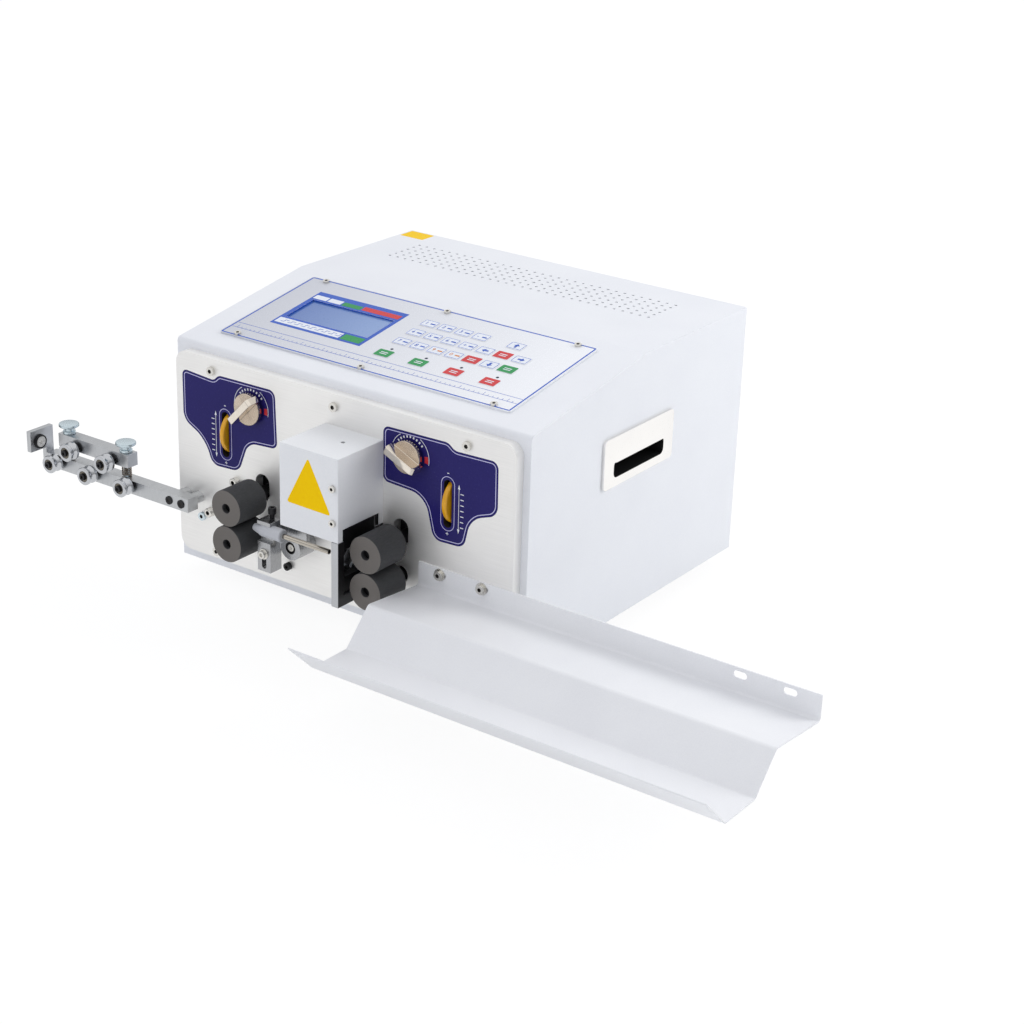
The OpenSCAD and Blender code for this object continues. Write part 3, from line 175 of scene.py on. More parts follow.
def surface(name, colour, shade, grain, relief, roughness, metallic=0.0, coat=0.0, shine=0.5, reflection_fade=None,
            turned=None):
    """A material whose colour, gloss and relief vary with a grain and a broad cloud, in millimetres.

    Colour and shade are the ends of the colour's drift, grain its size along X, Y and Z, relief the
    depth of the bump, roughness the two ends of the gloss and shine how much is mirrored. With a
    reflection fade the colour goes over into the shade between two places along X instead of in
    clouds, as a painted reflection. What is turned has rings as its grain, about an axis along Y at
    the given X and Z."""
    made = bpy.data.materials.new(name)
    tree = empty_tree(made)
    place = add(tree, "ShaderNodeTexCoord").outputs["Object"]
    if turned:
        centred = add(tree, "ShaderNodeMapping",
                      {"Vector": place, "Location": (-turned[0] * MM, 0, -turned[1] * MM)})
        grit = add(tree, "ShaderNodeTexWave",
                   {"Vector": centred.outputs[0], "Scale": WAVE_LENGTH / (MM * grain[0])},
                   wave_type="RINGS", rings_direction="Y")
    else:
        scaled = add(tree, "ShaderNodeMapping", {"Vector": place, "Scale": [1 / (MM * g) for g in grain]})
        grit = add(tree, "ShaderNodeTexNoise",
                   {"Vector": scaled.outputs[0], "Scale": 1.0, "Detail": 3.0})
    drift = add(tree, "ShaderNodeTexNoise",
                {"Vector": place, "Scale": 1 / (MM * CLOUD), "Detail": 2.0})
    both = add(tree, "ShaderNodeMath", {0: grit.outputs[0], 1: drift.outputs[0]}, operation="ADD")
    tone = add(tree, "ShaderNodeMapRange", {"Value": both.outputs[0], "From Min": 0.7, "From Max": 1.3})
    if reflection_fade:
        across = add(tree, "ShaderNodeSeparateXYZ", {"Vector": place}).outputs["X"]
        tone = add(tree, "ShaderNodeMapRange",
                   {"Value": across, "From Min": reflection_fade[0] * MM, "From Max": reflection_fade[1] * MM})
    mixed = add(tree, "ShaderNodeMix", {0: tone.outputs[0], 6: linear(colour), 7: linear(shade)},
                data_type="RGBA")
    gloss = add(tree, "ShaderNodeMapRange", {"Value": grit.outputs[0], "From Min": 0.3, "From Max": 0.7,
                                             "To Min": roughness[0], "To Max": roughness[1]})
    bump = add(tree, "ShaderNodeBump",
               {"Height": grit.outputs[0], "Strength": 1.0, "Distance": MM * relief})
    shader = add(tree, "ShaderNodeBsdfPrincipled", {
        "Base Color": mixed.outputs[2], "Metallic": metallic, "Roughness": gloss.outputs[0],
        "Specular IOR Level": shine, "Coat Weight": coat, "Coat Roughness": 0.08,
        "Normal": bump.outputs[0]})
    add(tree, "ShaderNodeOutputMaterial", {"Surface": shader.outputs[0]})
    return made


def piece(name, shape, finishes, body):
    """Makes an object of a bmesh, with its finishes, that rides on a body."""
    mesh = bpy.data.meshes.new(name)
    shape.to_mesh(mesh)
    shape.free()
    carried = mesh.attributes.get("custom_normal")
    if carried:
        mesh.attributes.remove(carried)
    for finish in finishes:
        mesh.materials.append(finish)
    mesh.set_sharp_from_angle(angle=math.radians(50))
    made = bpy.data.objects.new(name, mesh)
    bpy.context.scene.collection.objects.link(made)
    made.modifiers.new("even_shading", "WEIGHTED_NORMAL").keep_sharp = True
    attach(made, body)
    return made


def eased(node, finishes, radius, longer=0.0, pick=lambda face: 0, steps=2):
    """A copy of a CAD node with its edges eased by a radius in millimetres, which stands for it.

    Only edges longer than the given length are eased; pick gives each face its finish."""
    source = frame["nodes"][node]
    shape = bmesh.new()
    shape.from_mesh(source.data)
    bmesh.ops.remove_doubles(shape, verts=shape.verts, dist=0.002 * MM)
    bmesh.ops.dissolve_limit(shape, angle_limit=math.radians(0.5), verts=shape.verts, edges=shape.edges)
    shape.normal_update()
    for face in shape.faces:
        face.material_index = pick(face)
    sharp = [edge for edge in shape.edges if edge.is_manifold
             and edge.calc_face_angle() > math.radians(35) and edge.calc_length() > longer * MM]
    bmesh.ops.bevel(shape, geom=sharp, offset=radius * MM, offset_type="OFFSET", affect="EDGES",
                    segments=steps, profile=0.5, material=-1, clamp_overlap=True)
    for face in shape.faces:
        face.smooth = True
    made = piece(node + "_piece", shape, finishes, source["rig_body"])
    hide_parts(node)
    return made


def coated(finish, *nodes):
    """Gives CAD nodes that keep their own shape a finish."""
    for node in nodes:
        data = frame["nodes"][node].data
        data.materials.clear()
        data.materials.append(finish)


# Powder coat: baked polyester powder, a fine even peel with a low sheen and faint clouding
case_paint = surface("white_powder_coat", "#f0f2f6", "#ebedf2", (1.1, 1.1, 1.1), 0.006, (0.36, 0.46))
eased("case_shell", [case_paint], 0.7, longer=6)
eased("rear_panel", [case_paint], 0.3, longer=6)
coated(case_paint, "base_pan")

# Rubber feet
# Four moulded rubber bumpers under the corners of the pan, each held by one screw from below, so
# that the machine stays put on a bench.
# Moulded rubber: black, dull, with a dusty bloom in its grain
foot_rubber = surface("moulded_rubber", "#1b1b1c", "#2a2a2b", (0.6, 0.6, 0.6), 0.02, (0.7, 0.85))
eased("rubber_feet", [foot_rubber], 0.8)

# Front plate
# A 10 mm aluminium plate, brushed lengthwise and clear anodised, that carries the whole mechanism.
# It is screwed to the folded front from outside, and two printed labels frame the controls.
# Brushed aluminium: fine scratches along X in a clear satin film, drawn 0.5 mm wide so that they show
plate_aluminium = surface("brushed_anodised_aluminium", "#f9f8f6", "#f1f0ee", (38, 0.5, 0.5), 0.003,
                          (0.42, 0.54), metallic=0.75)
# Painted shade: dark, dull metal laid on the walls of slots and in sockets, where shade falls
recess_painted_shade = surface("painted_recess_shade", "#2a2826", "#33312e", (0.8, 0.8, 0.8), 0.004, (0.45, 0.6), shine=0.2)
LEFT_WHEEL, RIGHT_WHEEL, WHEEL_Z = -129.5, 119.3, 152
SLOT_W, SLOT_H = 8.6, 43


def plate_slot_shade_pick(face):
    """The walls of the wheels' slots are painted dark as shade."""
    for wheel in (LEFT_WHEEL, RIGHT_WHEEL):
        away = [(abs(vert.co.x / MM - wheel) - SLOT_W / 2, abs(vert.co.z / MM - WHEEL_Z) - SLOT_H / 2)
                for vert in face.verts]
        if max(max(pair) for pair in away) < 0.1:
            return 1
    return 0


eased("front_plate", [plate_aluminium, recess_painted_shade], 0.9, longer=0.5, pick=plate_slot_shade_pick)

PRINT = 0.05
PLATE_Y = -180


def keep(sheet, flat):
    """Moves one flat shape into the sheet that collects the shapes of a print."""
    mesh = bpy.data.meshes.new("print")
    flat.to_mesh(mesh)
    flat.free()
    sheet.from_mesh(mesh)
    bpy.data.meshes.remove(mesh)


def inked(sheet, flat, ink, base):
    """Gives a flat shape the thickness of its film and its ink, and moves it into the sheet."""
    grown = bmesh.ops.extrude_face_region(flat, geom=list(flat.faces), use_keep_orig=True)
    raised = [part for part in grown["geom"] if isinstance(part, bmesh.types.BMVert)]
    bmesh.ops.translate(flat, verts=raised, vec=(0, 0, PRINT * MM))
    bmesh.ops.translate(flat, verts=flat.verts, vec=(0, 0, base * MM))
    bmesh.ops.recalc_face_normals(flat, faces=flat.faces)
    for face in flat.faces:
        face.material_index = ink
    keep(sheet, flat)


def patch(sheet, corners, ink, base, rounding=0.0, inset=0.0, line=0.0, slots_through=()):
    """Prints a flat shape with rounded corners, set in from its outline, filled or as a line.

    The film is cut out over upright slots, each given as its middle, width and height."""
    flat = bmesh.new()
    points = [flat.verts.new((x * MM, y * MM, 0)) for x, y in corners]
    flat.faces.new(points)
    radii = rounding if isinstance(rounding, (list, tuple)) else [rounding] * len(points)
    for point, radius in zip(points, radii):
        if radius:
            bmesh.ops.bevel(flat, geom=[point], offset=radius * MM, offset_type="OFFSET", segments=6,
                            profile=0.5, affect="VERTICES", material=-1, clamp_overlap=True)
    bmesh.ops.remove_doubles(flat, verts=flat.verts, dist=0.02 * MM)
    if inset:
        rim = bmesh.ops.inset_region(flat, faces=list(flat.faces), thickness=inset * MM,
                                     use_boundary=True, use_even_offset=True)["faces"]
        bmesh.ops.delete(flat, geom=rim, context="FACES")
    if line:
        inner = list(flat.faces)
        bmesh.ops.inset_region(flat, faces=inner, thickness=line * MM,
                               use_boundary=True, use_even_offset=True)
        bmesh.ops.delete(flat, geom=inner, context="FACES")
    for x, y, w, h in slots_through:
        ring = bmesh.ops.create_circle(flat, cap_ends=False, segments=32, radius=w / 2 * MM)["verts"]
        for way in (-1, 1):
            half = [vert for vert in ring if vert.co.y * way > 0]
            bmesh.ops.translate(flat, verts=half, vec=(0, way * (h - w) / 2 * MM, 0))
        bmesh.ops.translate(flat, verts=ring, vec=(x * MM, y * MM, 0))
    if slots_through:
        bmesh.ops.delete(flat, geom=list(flat.faces), context="FACES_ONLY")
        bmesh.ops.triangle_fill(flat, edges=list(flat.edges), use_beauty=True)
    inked(sheet, flat, ink, base)


def box(sheet, x0, y0, x1, y1, ink, base, rounding=0.0, line=0.0):
    """Prints a rectangle."""
    patch(sheet, [(x0, y0), (x1, y0), (x1, y1), (x0, y1)], ink, base, rounding, 0.0, line)


def band(sheet, middle, inner, outer, start, sweep, ink, base):
    """Prints part of a ring, from a start angle over a sweep in degrees."""
    flat = bmesh.new()
    turn = math.radians(start)
    ends = [flat.verts.new((r * MM * math.cos(turn), r * MM * math.sin(turn), 0)) for r in (inner, outer)]
    edge = flat.edges.new(ends)
    bmesh.ops.spin(flat, geom=[*ends, edge], axis=(0, 0, 1), cent=(0, 0, 0), angle=math.radians(sweep),
                   steps=max(4, int(abs(sweep) / 6)))
    bmesh.ops.translate(flat, verts=flat.verts, vec=(middle[0] * MM, middle[1] * MM, 0))
    inked(sheet, flat, ink, base)


def figure(sheet, words, x, y, size, ink, base):
    """Prints a plain figure or sign, centred on a point."""
    curve = bpy.data.curves.new("figure", "FONT")
    curve.body = words
    curve.size = size * MM
    curve.align_x = "CENTER"
    curve.align_y = "CENTER"
    curve.extrude = PRINT * MM / 2
    curve.resolution_u = 3
    written = bpy.data.objects.new("figure", curve)
    mesh = bpy.data.meshes.new_from_object(written)
    mesh.transform(Matrix.Translation((x * MM, y * MM, (base + PRINT / 2) * MM)))
    for polygon in mesh.polygons:
        polygon.material_index = ink
    sheet.from_mesh(mesh)
    bpy.data.objects.remove(written)
    bpy.data.curves.remove(curve)
    bpy.data.meshes.remove(mesh)


# Screen-printed polyester film: smooth and glossy, with the ink slightly uneven under it
label_navy = surface("navy_label_film", "#241f62", "#29246a", (2, 2, 2), 0.001, (0.2, 0.28), shine=0.12)
label_lilac = surface("lilac_label_ink", "#c3c1ea", "#cdcbf0", (2, 2, 2), 0.001, (0.25, 0.35))
label_white = surface("white_label_ink", "#eef0f4", "#e4e6ee", (2, 2, 2), 0.001, (0.25, 0.35))
label_red = surface("red_label_ink", "#d2323c", "#c42a34", (2, 2, 2), 0.001, (0.25, 0.35))
NAVY, LILAC, WHITE, RED = range(4)
label_inks = [label_navy, label_lilac, label_white, label_red]
KNOB_Z = 185
labels = {
    "left": {
        "outline": [(-180.5, 203.2), (-142.6, 200.4), (-136.5, 206.2), (-70.5, 207.0), (-68.5, 153.2),
                    (-102.5, 150.8), (-114.2, 120.6), (-146.5, 119.0), (-154.0, 141.5), (-180.5, 155.0)],
        "radii": [6, 3, 3, 7, 6, 9, 7, 8, 13, 8],
        "knob": -98.3, "wheel": LEFT_WHEEL, "side": -1},
    "right": {
        "outline": [(50.3, 205.0), (118.5, 206.4), (125.8, 200.8), (170.0, 202.0), (170.6, 154.6),
                    (143.2, 145.0), (136.8, 116.8), (105.0, 115.5), (95.5, 153.0), (50.3, 155.2)],
        "radii": [6, 3, 3, 7, 8, 11, 7, 8, 14, 6],
        "knob": 79.3, "wheel": RIGHT_WHEEL, "side": 1},
}
for hand, label in labels.items():
    sheet = bmesh.new()
    wheel, side = label["wheel"], label["side"]
    patch(sheet, label["outline"], NAVY, 0.0, label["radii"],
          slots_through=[(wheel, WHEEL_Z, SLOT_W, SLOT_H)])
    patch(sheet, label["outline"], LILAC, PRINT, label["radii"], inset=2.0, line=0.7)
    knob = (label["knob"], KNOB_Z)
    for start in (-12, 122):
        band(sheet, knob, 19.6, 20.1, start, 70, WHITE, PRINT)
    band(sheet, knob, 15.2, 19.0, -10, 20, RED, PRINT)
    band(sheet, knob, 15.2, 19.0, 170, 16, RED, PRINT)
    for turn in range(40, 145, 12):
        band(sheet, knob, 15.6, 17.6, turn, 5, WHITE, PRINT)
    box(sheet, wheel - 7.2, WHEEL_Z - 24.5, wheel + 7.2, WHEEL_Z + 24.5, LILAC, PRINT, 7.1, 0.55)
    scale_x = wheel + side * 11.5
    box(sheet, scale_x - 0.25, WHEEL_Z - 20, scale_x + 0.25, WHEEL_Z + 16, WHITE, PRINT)
    for end, tip in ((-1, WHEEL_Z - 24), (1, WHEEL_Z + 20)):
        patch(sheet, [(scale_x - 1.2, tip - end * 4), (scale_x + 1.2, tip - end * 4), (scale_x, tip)],
              WHITE, PRINT)
    for step in range(7):
        mark = WHEEL_Z + 12 - 5 * step
        box(sheet, scale_x + side * 1.6, mark - 0.4, scale_x + side * 5.0, mark + 0.4, WHITE, PRINT)
    figure(sheet, "+", wheel, WHEEL_Z - 27.3, 6, WHITE, PRINT)
    figure(sheet, "-", wheel, WHEEL_Z + 28.0, 8, WHITE, PRINT)
    stand = Matrix.Translation((0, PLATE_Y * MM, 0)) @ Matrix.Rotation(math.radians(90), 4, "X")
    bmesh.ops.transform(sheet, matrix=stand, verts=sheet.verts)
    piece(hand + "_label", sheet, label_inks, "machine")

# Control panel
# A membrane keypad on a stiff sheet: a silvery film printed from behind and embossed over the keys,
# screwed to the slope, with the window of the screen cut out of it.
FRONT_Y, FRONT_TOP_Z = -170, 227
SLOPE = math.atan2(28, 170)
on_slope = Matrix.Translation((0, FRONT_Y * MM, FRONT_TOP_Z * MM)) @ Matrix.Rotation(SLOPE, 4, "X")
FILM, KEYS = 1.53, 1.93
# Polyester keypad film: silvery white, velvet fine grain and a soft gloss, with a painted reflection that
# lightens it towards the right
film_painted_reflection = surface("keypad_film_painted_reflection", "#c9ccd5", "#f3f5f9", (0.7, 0.7, 0.7), 0.003, (0.2, 0.3),
                     reflection_fade=(-166, 140))
film_blue = surface("blue_film_ink", "#2c58bb", "#3261c6", (2, 2, 2), 0.001, (0.2, 0.3), shine=0.2)
film_white = surface("white_film_ink", "#eef2f9", "#e8edf6", (2, 2, 2), 0.001, (0.25, 0.35), shine=0.25)
film_red = surface("red_film_ink", "#d8353a", "#ce2f33", (2, 2, 2), 0.001, (0.25, 0.35), shine=0.25)
film_green = surface("green_film_ink", "#1f9a52", "#1b904c", (2, 2, 2), 0.001, (0.25, 0.35), shine=0.25)
film_orange = surface("orange_film_ink", "#e08a3c", "#d98436", (2, 2, 2), 0.001, (0.25, 0.35), shine=0.25)
film_dark = surface("smoked_lamp_window", "#3b4256", "#444b60", (2, 2, 2), 0.001, (0.15, 0.2))
BLUE, PALE, SCARLET, GREEN, ORANGE, SMOKE = range(6)
film_inks = [film_blue, film_white, film_red, film_green, film_orange, film_dark]
WINDOW_MID, WINDOW_SIZE = Vector((-85.5, 97.0)), (95, 39)


def film_finish(face):
    """The cut edge of the window takes the blue of the print round it."""
    spot = (on_slope.inverted() @ face.calc_center_median()) / MM
    away = [abs(spot[i] - WINDOW_MID[i]) - WINDOW_SIZE[i] / 2 for i in (0, 1)]
    return 1 if max(away) < 0.3 else 0


eased("control_panel", [film_painted_reflection, film_blue], 0.15, longer=0.2, pick=film_finish, steps=1)

sheet = bmesh.new()
box(sheet, -165.4, 25.6, 154.4, 155.4, BLUE, FILM, 2.0, 1.5)
for low, high in (((-138, 61), (-33.5, 77.3)), ((-138, 116.7), (-33.5, 133)),
                  ((-138, 77.3), (-133.2, 116.7)), ((-37.8, 77.3), (-33.5, 116.7))):
    box(sheet, *low, *high, BLUE, FILM)
RAISED = FILM + PRINT
for x0, y0, x1, y1, ink in ((-136, 119.2, -120.5, 126.2, PALE), (-119, 119.2, -103.8, 126.2, PALE),
                            (-102.4, 118.9, -80.6, 125.6, GREEN), (-79.2, 119.6, -36.8, 126.8, SCARLET),
                            (-135.8, 64.6, -61.2, 74.2, PALE), (-59.2, 64.2, -36.9, 74.2, GREEN)):
    box(sheet, x0, y0, x1, y1, ink, RAISED, 0.6)
for step in range(9):
    x = -131 + 8 * step
    box(sheet, x, 67.6, x + 4, 68.2, BLUE, RAISED + PRINT)
    box(sheet, x + 4, 70.8, x + 8, 71.4, BLUE, RAISED + PRINT)
    box(sheet, x + 3.7, 67.6, x + 4.3, 71.4, BLUE, RAISED + PRINT)
for y in (38.8, 47.4):
    box(sheet, -163, y - 0.25, 152.5, y + 0.25, BLUE, FILM)
for step in range(62):
    x = -158 + 5 * step
    tall = 4.6 if step % 5 == 0 else 2.4
    box(sheet, x - 0.2, 38.9, x + 0.2, 38.9 + tall, BLUE, FILM)
KEY_W, KEY_H = 16.5, 12.3
COLUMN, ROW = 19, 20
FIRST_X, FIRST_S = -5, 86


def key(column, row, ink, line):
    """Prints one key's field on its raised top, and gives back its middle."""
    x, s = FIRST_X + column * COLUMN, FIRST_S + row * ROW
    half_w, half_h = KEY_W / 2 - 0.3, KEY_H / 2 - 0.3
    box(sheet, x - half_w, s - half_h, x + half_w, s + half_h, ink, KEYS, 1.0)
    if line is not None:
        box(sheet, x - half_w + 0.5, s - half_h + 0.5, x + half_w - 0.5, s + half_h - 0.5, line,
            KEYS + PRINT, 0.8, 0.45)
    return x, s


TOP = KEYS + 2 * PRINT
for row, marks in ((2, "123-"), (1, "456+"), (0, "7890")):
    for column, mark in enumerate(marks):
        strong = ORANGE if row == 0 and column > 1 else BLUE
        x, s = key(column, row, PALE, BLUE)
        figure(sheet, mark, x - 3.2, s, 6.5, strong, TOP)
        box(sheet, x + 1, s - 0.9, x + 6, s + 0.9, strong, TOP)
ARROW = [(-1.1, -3.4), (1.1, -3.4), (1.1, 0.2), (3.0, 0.2), (0, 3.6), (-3.0, 0.2), (-1.1, 0.2)]
for column, row, turn in ((4, 1, 90), (5, 2, 0), (5, 0, 180), (6, 1, -90)):
    x, s = key(column, row, PALE, BLUE)
    spin = Matrix.Rotation(math.radians(turn), 2)
    patch(sheet, [tuple(Vector((x, s)) + spin @ Vector(point)) for point in ARROW], BLUE, TOP)
for column, row, ink in ((4, 0, SCARLET), (5, 1, SCARLET), (6, 0, GREEN), (0, -1.3, GREEN),
                         (2, -1.3, GREEN), (4, -1.3, SCARLET), (6, -1.3, SCARLET)):
    x, s = key(column, row, ink, None)
    for low in (-1.9, 0.7):
        box(sheet, x - 3.8, s + low, x + 3.8, s + low + 1.1, PALE, TOP)
    if row < 0:
        band(sheet, (x + 1, s + 10), 0, 1.5, 0, 360, SMOKE, FILM)
bmesh.ops.remove_doubles(sheet, verts=sheet.verts, dist=0.0005 * MM)
bmesh.ops.transform(sheet, matrix=on_slope, verts=sheet.verts)
piece("panel_print", sheet, film_inks, "machine")

# Screen
# A liquid crystal module behind the panel's window, switched off, under a glossy cover. It is
# clamped between the slope of the case and the keypad.
# Liquid crystal glass: a grey-blue layer below polished glass, with a painted reflection that makes it paler
# to the right
screen_painted_reflection = surface("liquid_crystal_glass_painted_reflection", "#4a70b6", "#7f9ed1", (0.8, 0.8, 0.8), 0.0005, (0.25, 0.35),
                       coat=0.5, shine=0.3, reflection_fade=(-133, -38))
coated(screen_painted_reflection, "display")

# Fasteners
# Plated button-head and cap screws with hexagon sockets, washers, the posts of the straightener and
# the black shoulder screws of its lower rollers.
# Bright plate: smooth, grey, with a fine haze
nickel = surface("bright_plated_steel", "#dddbd6", "#d0cec9", (0.8, 0.8, 0.8), 0.002, (0.2, 0.32),
                 metallic=1.0)
# Black oxide: an oiled dark skin on steel
black_steel = surface("black_oxide_steel", "#232325", "#2d2d30", (0.8, 0.8, 0.8), 0.004, (0.32, 0.45),
                      metallic=0.7)
# Milled aluminium bar: pale, with tool marks across it
bar_aluminium = surface("milled_aluminium", "#c4c6c8", "#b3b5b8", (0.6, 12, 12), 0.004, (0.26, 0.38),
                        metallic=1.0)
NICKEL, BLACK, TURNED, SOCKET_SHADE, COLD = range(5)


def sunk(face):
    """Whether most edges of a face are inner corners, as they are in a screw's socket."""
    inner = [edge for edge in face.edges if edge.is_manifold and edge.calc_face_angle_signed() < -0.3]
    return 2 * len(inner) > len(face.edges)


def fastener_finish(face):
    """Sockets are painted dark as shade, axles and bar screws black, posts turned aluminium, one screw blue
    zinc.
    """
    x, y, z = face.calc_center_median() / MM
    if sunk(face):
        return SOCKET_SHADE
    if x < -200 or (x < -150 and y < -203) or (abs(x + 56) < 6 and y < -179 and z < 60):
        return BLACK
    if x < -150 and y < -184 and 70 < z < 100:
        return TURNED
    return COLD if abs(x + 160) < 6 and z < 75 and y < 0 else NICKEL


# Blue zinc plate: cold, bright, with a soft haze
zinc = surface("blue_zinc_plate", "#cddae0", "#bfcdd4", (0.9, 0.9, 0.9), 0.004, (0.22, 0.34), metallic=1.0)
eased("fasteners", [nickel, black_steel, bar_aluminium, recess_painted_shade, zinc], 0.35, pick=fastener_finish)

# Cap screws of the left bearing block
# Two plated cap screws in the front plate, beside the left rollers. They are turned from bar, their
# sockets are painted dark as shade, and they hold the bearing block behind the plate.
SOCKET_R = 2.1
CAP_SCREW = [(0, 2.4), (SOCKET_R, 2.4), (SOCKET_R, 5.4), (3.7, 5.4), (4.4, 4.7), (4.4, 0), (0, 0)]


def spun(points, middle, axis, steps):
    """A turned shape: a profile in millimetres, spun once about an axis through a point.

    A profile whose ends both lie on the axis stays open, any other is closed into a ring."""
    shape = bmesh.new()
    profile = [shape.verts.new(point) for point in points]
    arm = [(Vector(points[i]) - Vector(middle)).cross(Vector(axis)).length for i in (0, -1)]
    first = 0 if max(arm) > 0 else 1
    edges = [shape.edges.new((profile[i - 1], profile[i])) for i in range(first, len(profile))]
    bmesh.ops.spin(shape, geom=profile + edges, cent=middle, axis=axis, angle=math.radians(360),
                   steps=steps, use_merge=True)
    bmesh.ops.remove_doubles(shape, verts=shape.verts, dist=0.001)
    bmesh.ops.recalc_face_normals(shape, faces=shape.faces)
    bmesh.ops.scale(shape, vec=(MM, MM, MM), verts=shape.verts)
    for face in shape.faces:
        face.smooth = True
    return shape


for name, x, z in (("upper", -117.6, 110.0), ("lower", -149.2, 72.3)):
    shape = spun([(x + r, PLATE_Y - out, z) for r, out in CAP_SCREW], (x, 0, z), (0, 1, 0), 36)
    for face in shape.faces:
        spot = face.calc_center_median() / MM
        # Faces in the socket take the painted shade.
        face.material_index = 1 if math.hypot(spot.x - x, spot.z - z) < SOCKET_R + 0.1 else 0
    piece(name + "_block_screw", shape, [nickel, recess_painted_shade], "machine")

# Side handles
# Chrome-plated die-cast pulls in cut-outs of the case, each with a hood over a finger pocket painted black
# as shade.
# Bright chrome: a mirror with the faint waves of a polished casting
chrome = surface("bright_chrome", "#f6f4f1", "#f1efed", (30, 30, 30), 0.003, (0.04, 0.09), metallic=1.0)
# Painted shade: the inside of the pocket is made black and dull for the shade that falls in it
pocket_painted_shade = surface("painted_pocket_shade", "#101011", "#19191a", (1.5, 1.5, 1.5), 0.004, (0.45, 0.6))
CASE_HALF = 195


def handle_pocket_shade_pick(face):
    """What lies inside the case's side is the pocket, painted black as shade."""
    return 1 if abs(face.calc_center_median().x) / MM < CASE_HALF + 0.8 else 0


eased("side_handles", [chrome, pocket_painted_shade], 1.0, pick=handle_pocket_shade_pick)

# Blade head
# A white sheet cover over the drive, hooked over a ground steel frame in whose window the two blade
# carriers slide, moved apart and together by one lead screw with opposite threads.
# Cover enamel: sprayed white over bent sheet, a little smoother than the case
cover_paint = surface("white_cover_enamel", "#eff0f2", "#eaecef", (1.4, 1.4, 1.4), 0.004, (0.3, 0.4))
# Ground steel: bright, with fine marks along the wheel's path
ground_steel = surface("ground_steel", "#bfc1c4", "#b1b3b7", (0.8, 14, 0.8), 0.0015, (0.3, 0.4),
                       metallic=1.0)
# Hardened blade steel: polished nearly to a mirror
blade_steel = surface("hardened_blade_steel", "#cfd2d6", "#c5c8cc", (6, 6, 0.4), 0.001, (0.1, 0.18),
                      metallic=1.0)
# Stove enamel: the satin black of the motor's stack
motor_black = surface("satin_black_enamel", "#1d1d1f", "#262628", (1, 1, 1), 0.005, (0.4, 0.5))
eased("cutter_cover", [cover_paint], 0.9, longer=2)


def frame_side_shade_pick(face):
    """The broad sides are painted black as shade, the edges are ground."""
    return 1 if abs(face.normal.x) > 0.9 else 0


eased("cutter_frame", [ground_steel, black_steel], 0.4, pick=frame_side_shade_pick)
eased("lead_screw", [ground_steel], 0.3)
eased("upper_blade_carrier", [black_steel], 0.4)
eased("lower_blade_carrier", [black_steel], 0.4)
eased("upper_blade", [blade_steel], 0.15)
eased("lower_blade", [blade_steel], 0.15)
coated(motor_black, "cutter_motor", "feed_motors")

# Sticker on the cover
# A blank three-cornered vinyl sticker on the front of the cover, die-cut with rounded corners and
# pressed on by hand.
# Yellow vinyl: saturated, satin, with slight print mottle
yellow_vinyl = surface("yellow_vinyl", "#ffd400", "#fbcb00", (3, 3, 3), 0.002, (0.3, 0.4), shine=0.06)
COVER_Y = -240
sheet = bmesh.new()
patch(sheet, [(-5.2, 140.4), (43.0, 139.6), (18.6, 185.4)], 0, 0.0, 3.0)
stand = Matrix.Translation((0, COVER_Y * MM, 0)) @ Matrix.Rotation(math.radians(90), 4, "X")
bmesh.ops.transform(sheet, matrix=stand, verts=sheet.verts)
piece("cover_sticker", sheet, [yellow_vinyl], "machine")

# Sticker on the top
# A small blank vinyl sticker at the back left corner of the top, cut from the same yellow sheet and
# pressed on by hand.
TOP_Z = 255
sheet = bmesh.new()
box(sheet, -193, 148, -165, 168, 0, TOP_Z, 1.0)
piece("top_sticker", sheet, [yellow_vinyl], "machine")

# Feed rollers
# Polyurethane sleeves on geared steel shafts. The upper pair is carried by sliding blocks that
# springs press down; behind the plate each lower shaft is coupled to a stepping motor.
# Cast polyurethane: dark grey, matt, with a fine ground grain along the roller
roller_rubber = surface("ground_polyurethane", "#414244", "#3a3b3d", (0.5, 4, 0.5), 0.03, (0.62, 0.78))
# Worn end of the sleeve: paler where it was parted off
roller_end = surface("parted_polyurethane", "#67635f", "#716c68", (1.2, 1.2, 1.2), 0.02, (0.6, 0.75))
# Oiled spring wire: brownish grey, drawn
spring_steel = surface("oiled_spring_wire", "#8c8177", "#7d7268", (0.6, 0.6, 0.6), 0.003, (0.25, 0.4),
                       metallic=1.0)
ROLLER_FRONT = -227.6


def roller_finish(face):
    """The front end is paler than the sleeve."""
    middle = face.calc_center_median()
    return 1 if middle.y < ROLLER_FRONT * MM and face.normal.y < -0.9 else 0


for name in ("left_lower", "left_upper", "right_lower", "right_upper"):
    eased(name + "_roller", [roller_rubber, roller_end], 0.7, pick=roller_finish)
    # The shafts are black, which paints the shade in the rollers' holes where their ends show.
    coated(black_steel, name + "_shaft")
# The carriages are black, which paints the shade in the slots of the upper shafts.
coated(black_steel, "left_carriage", "right_carriage")
coated(ground_steel, "left_pressure_shaft", "right_pressure_shaft")
coated(bar_aluminium, "feed_mounts")


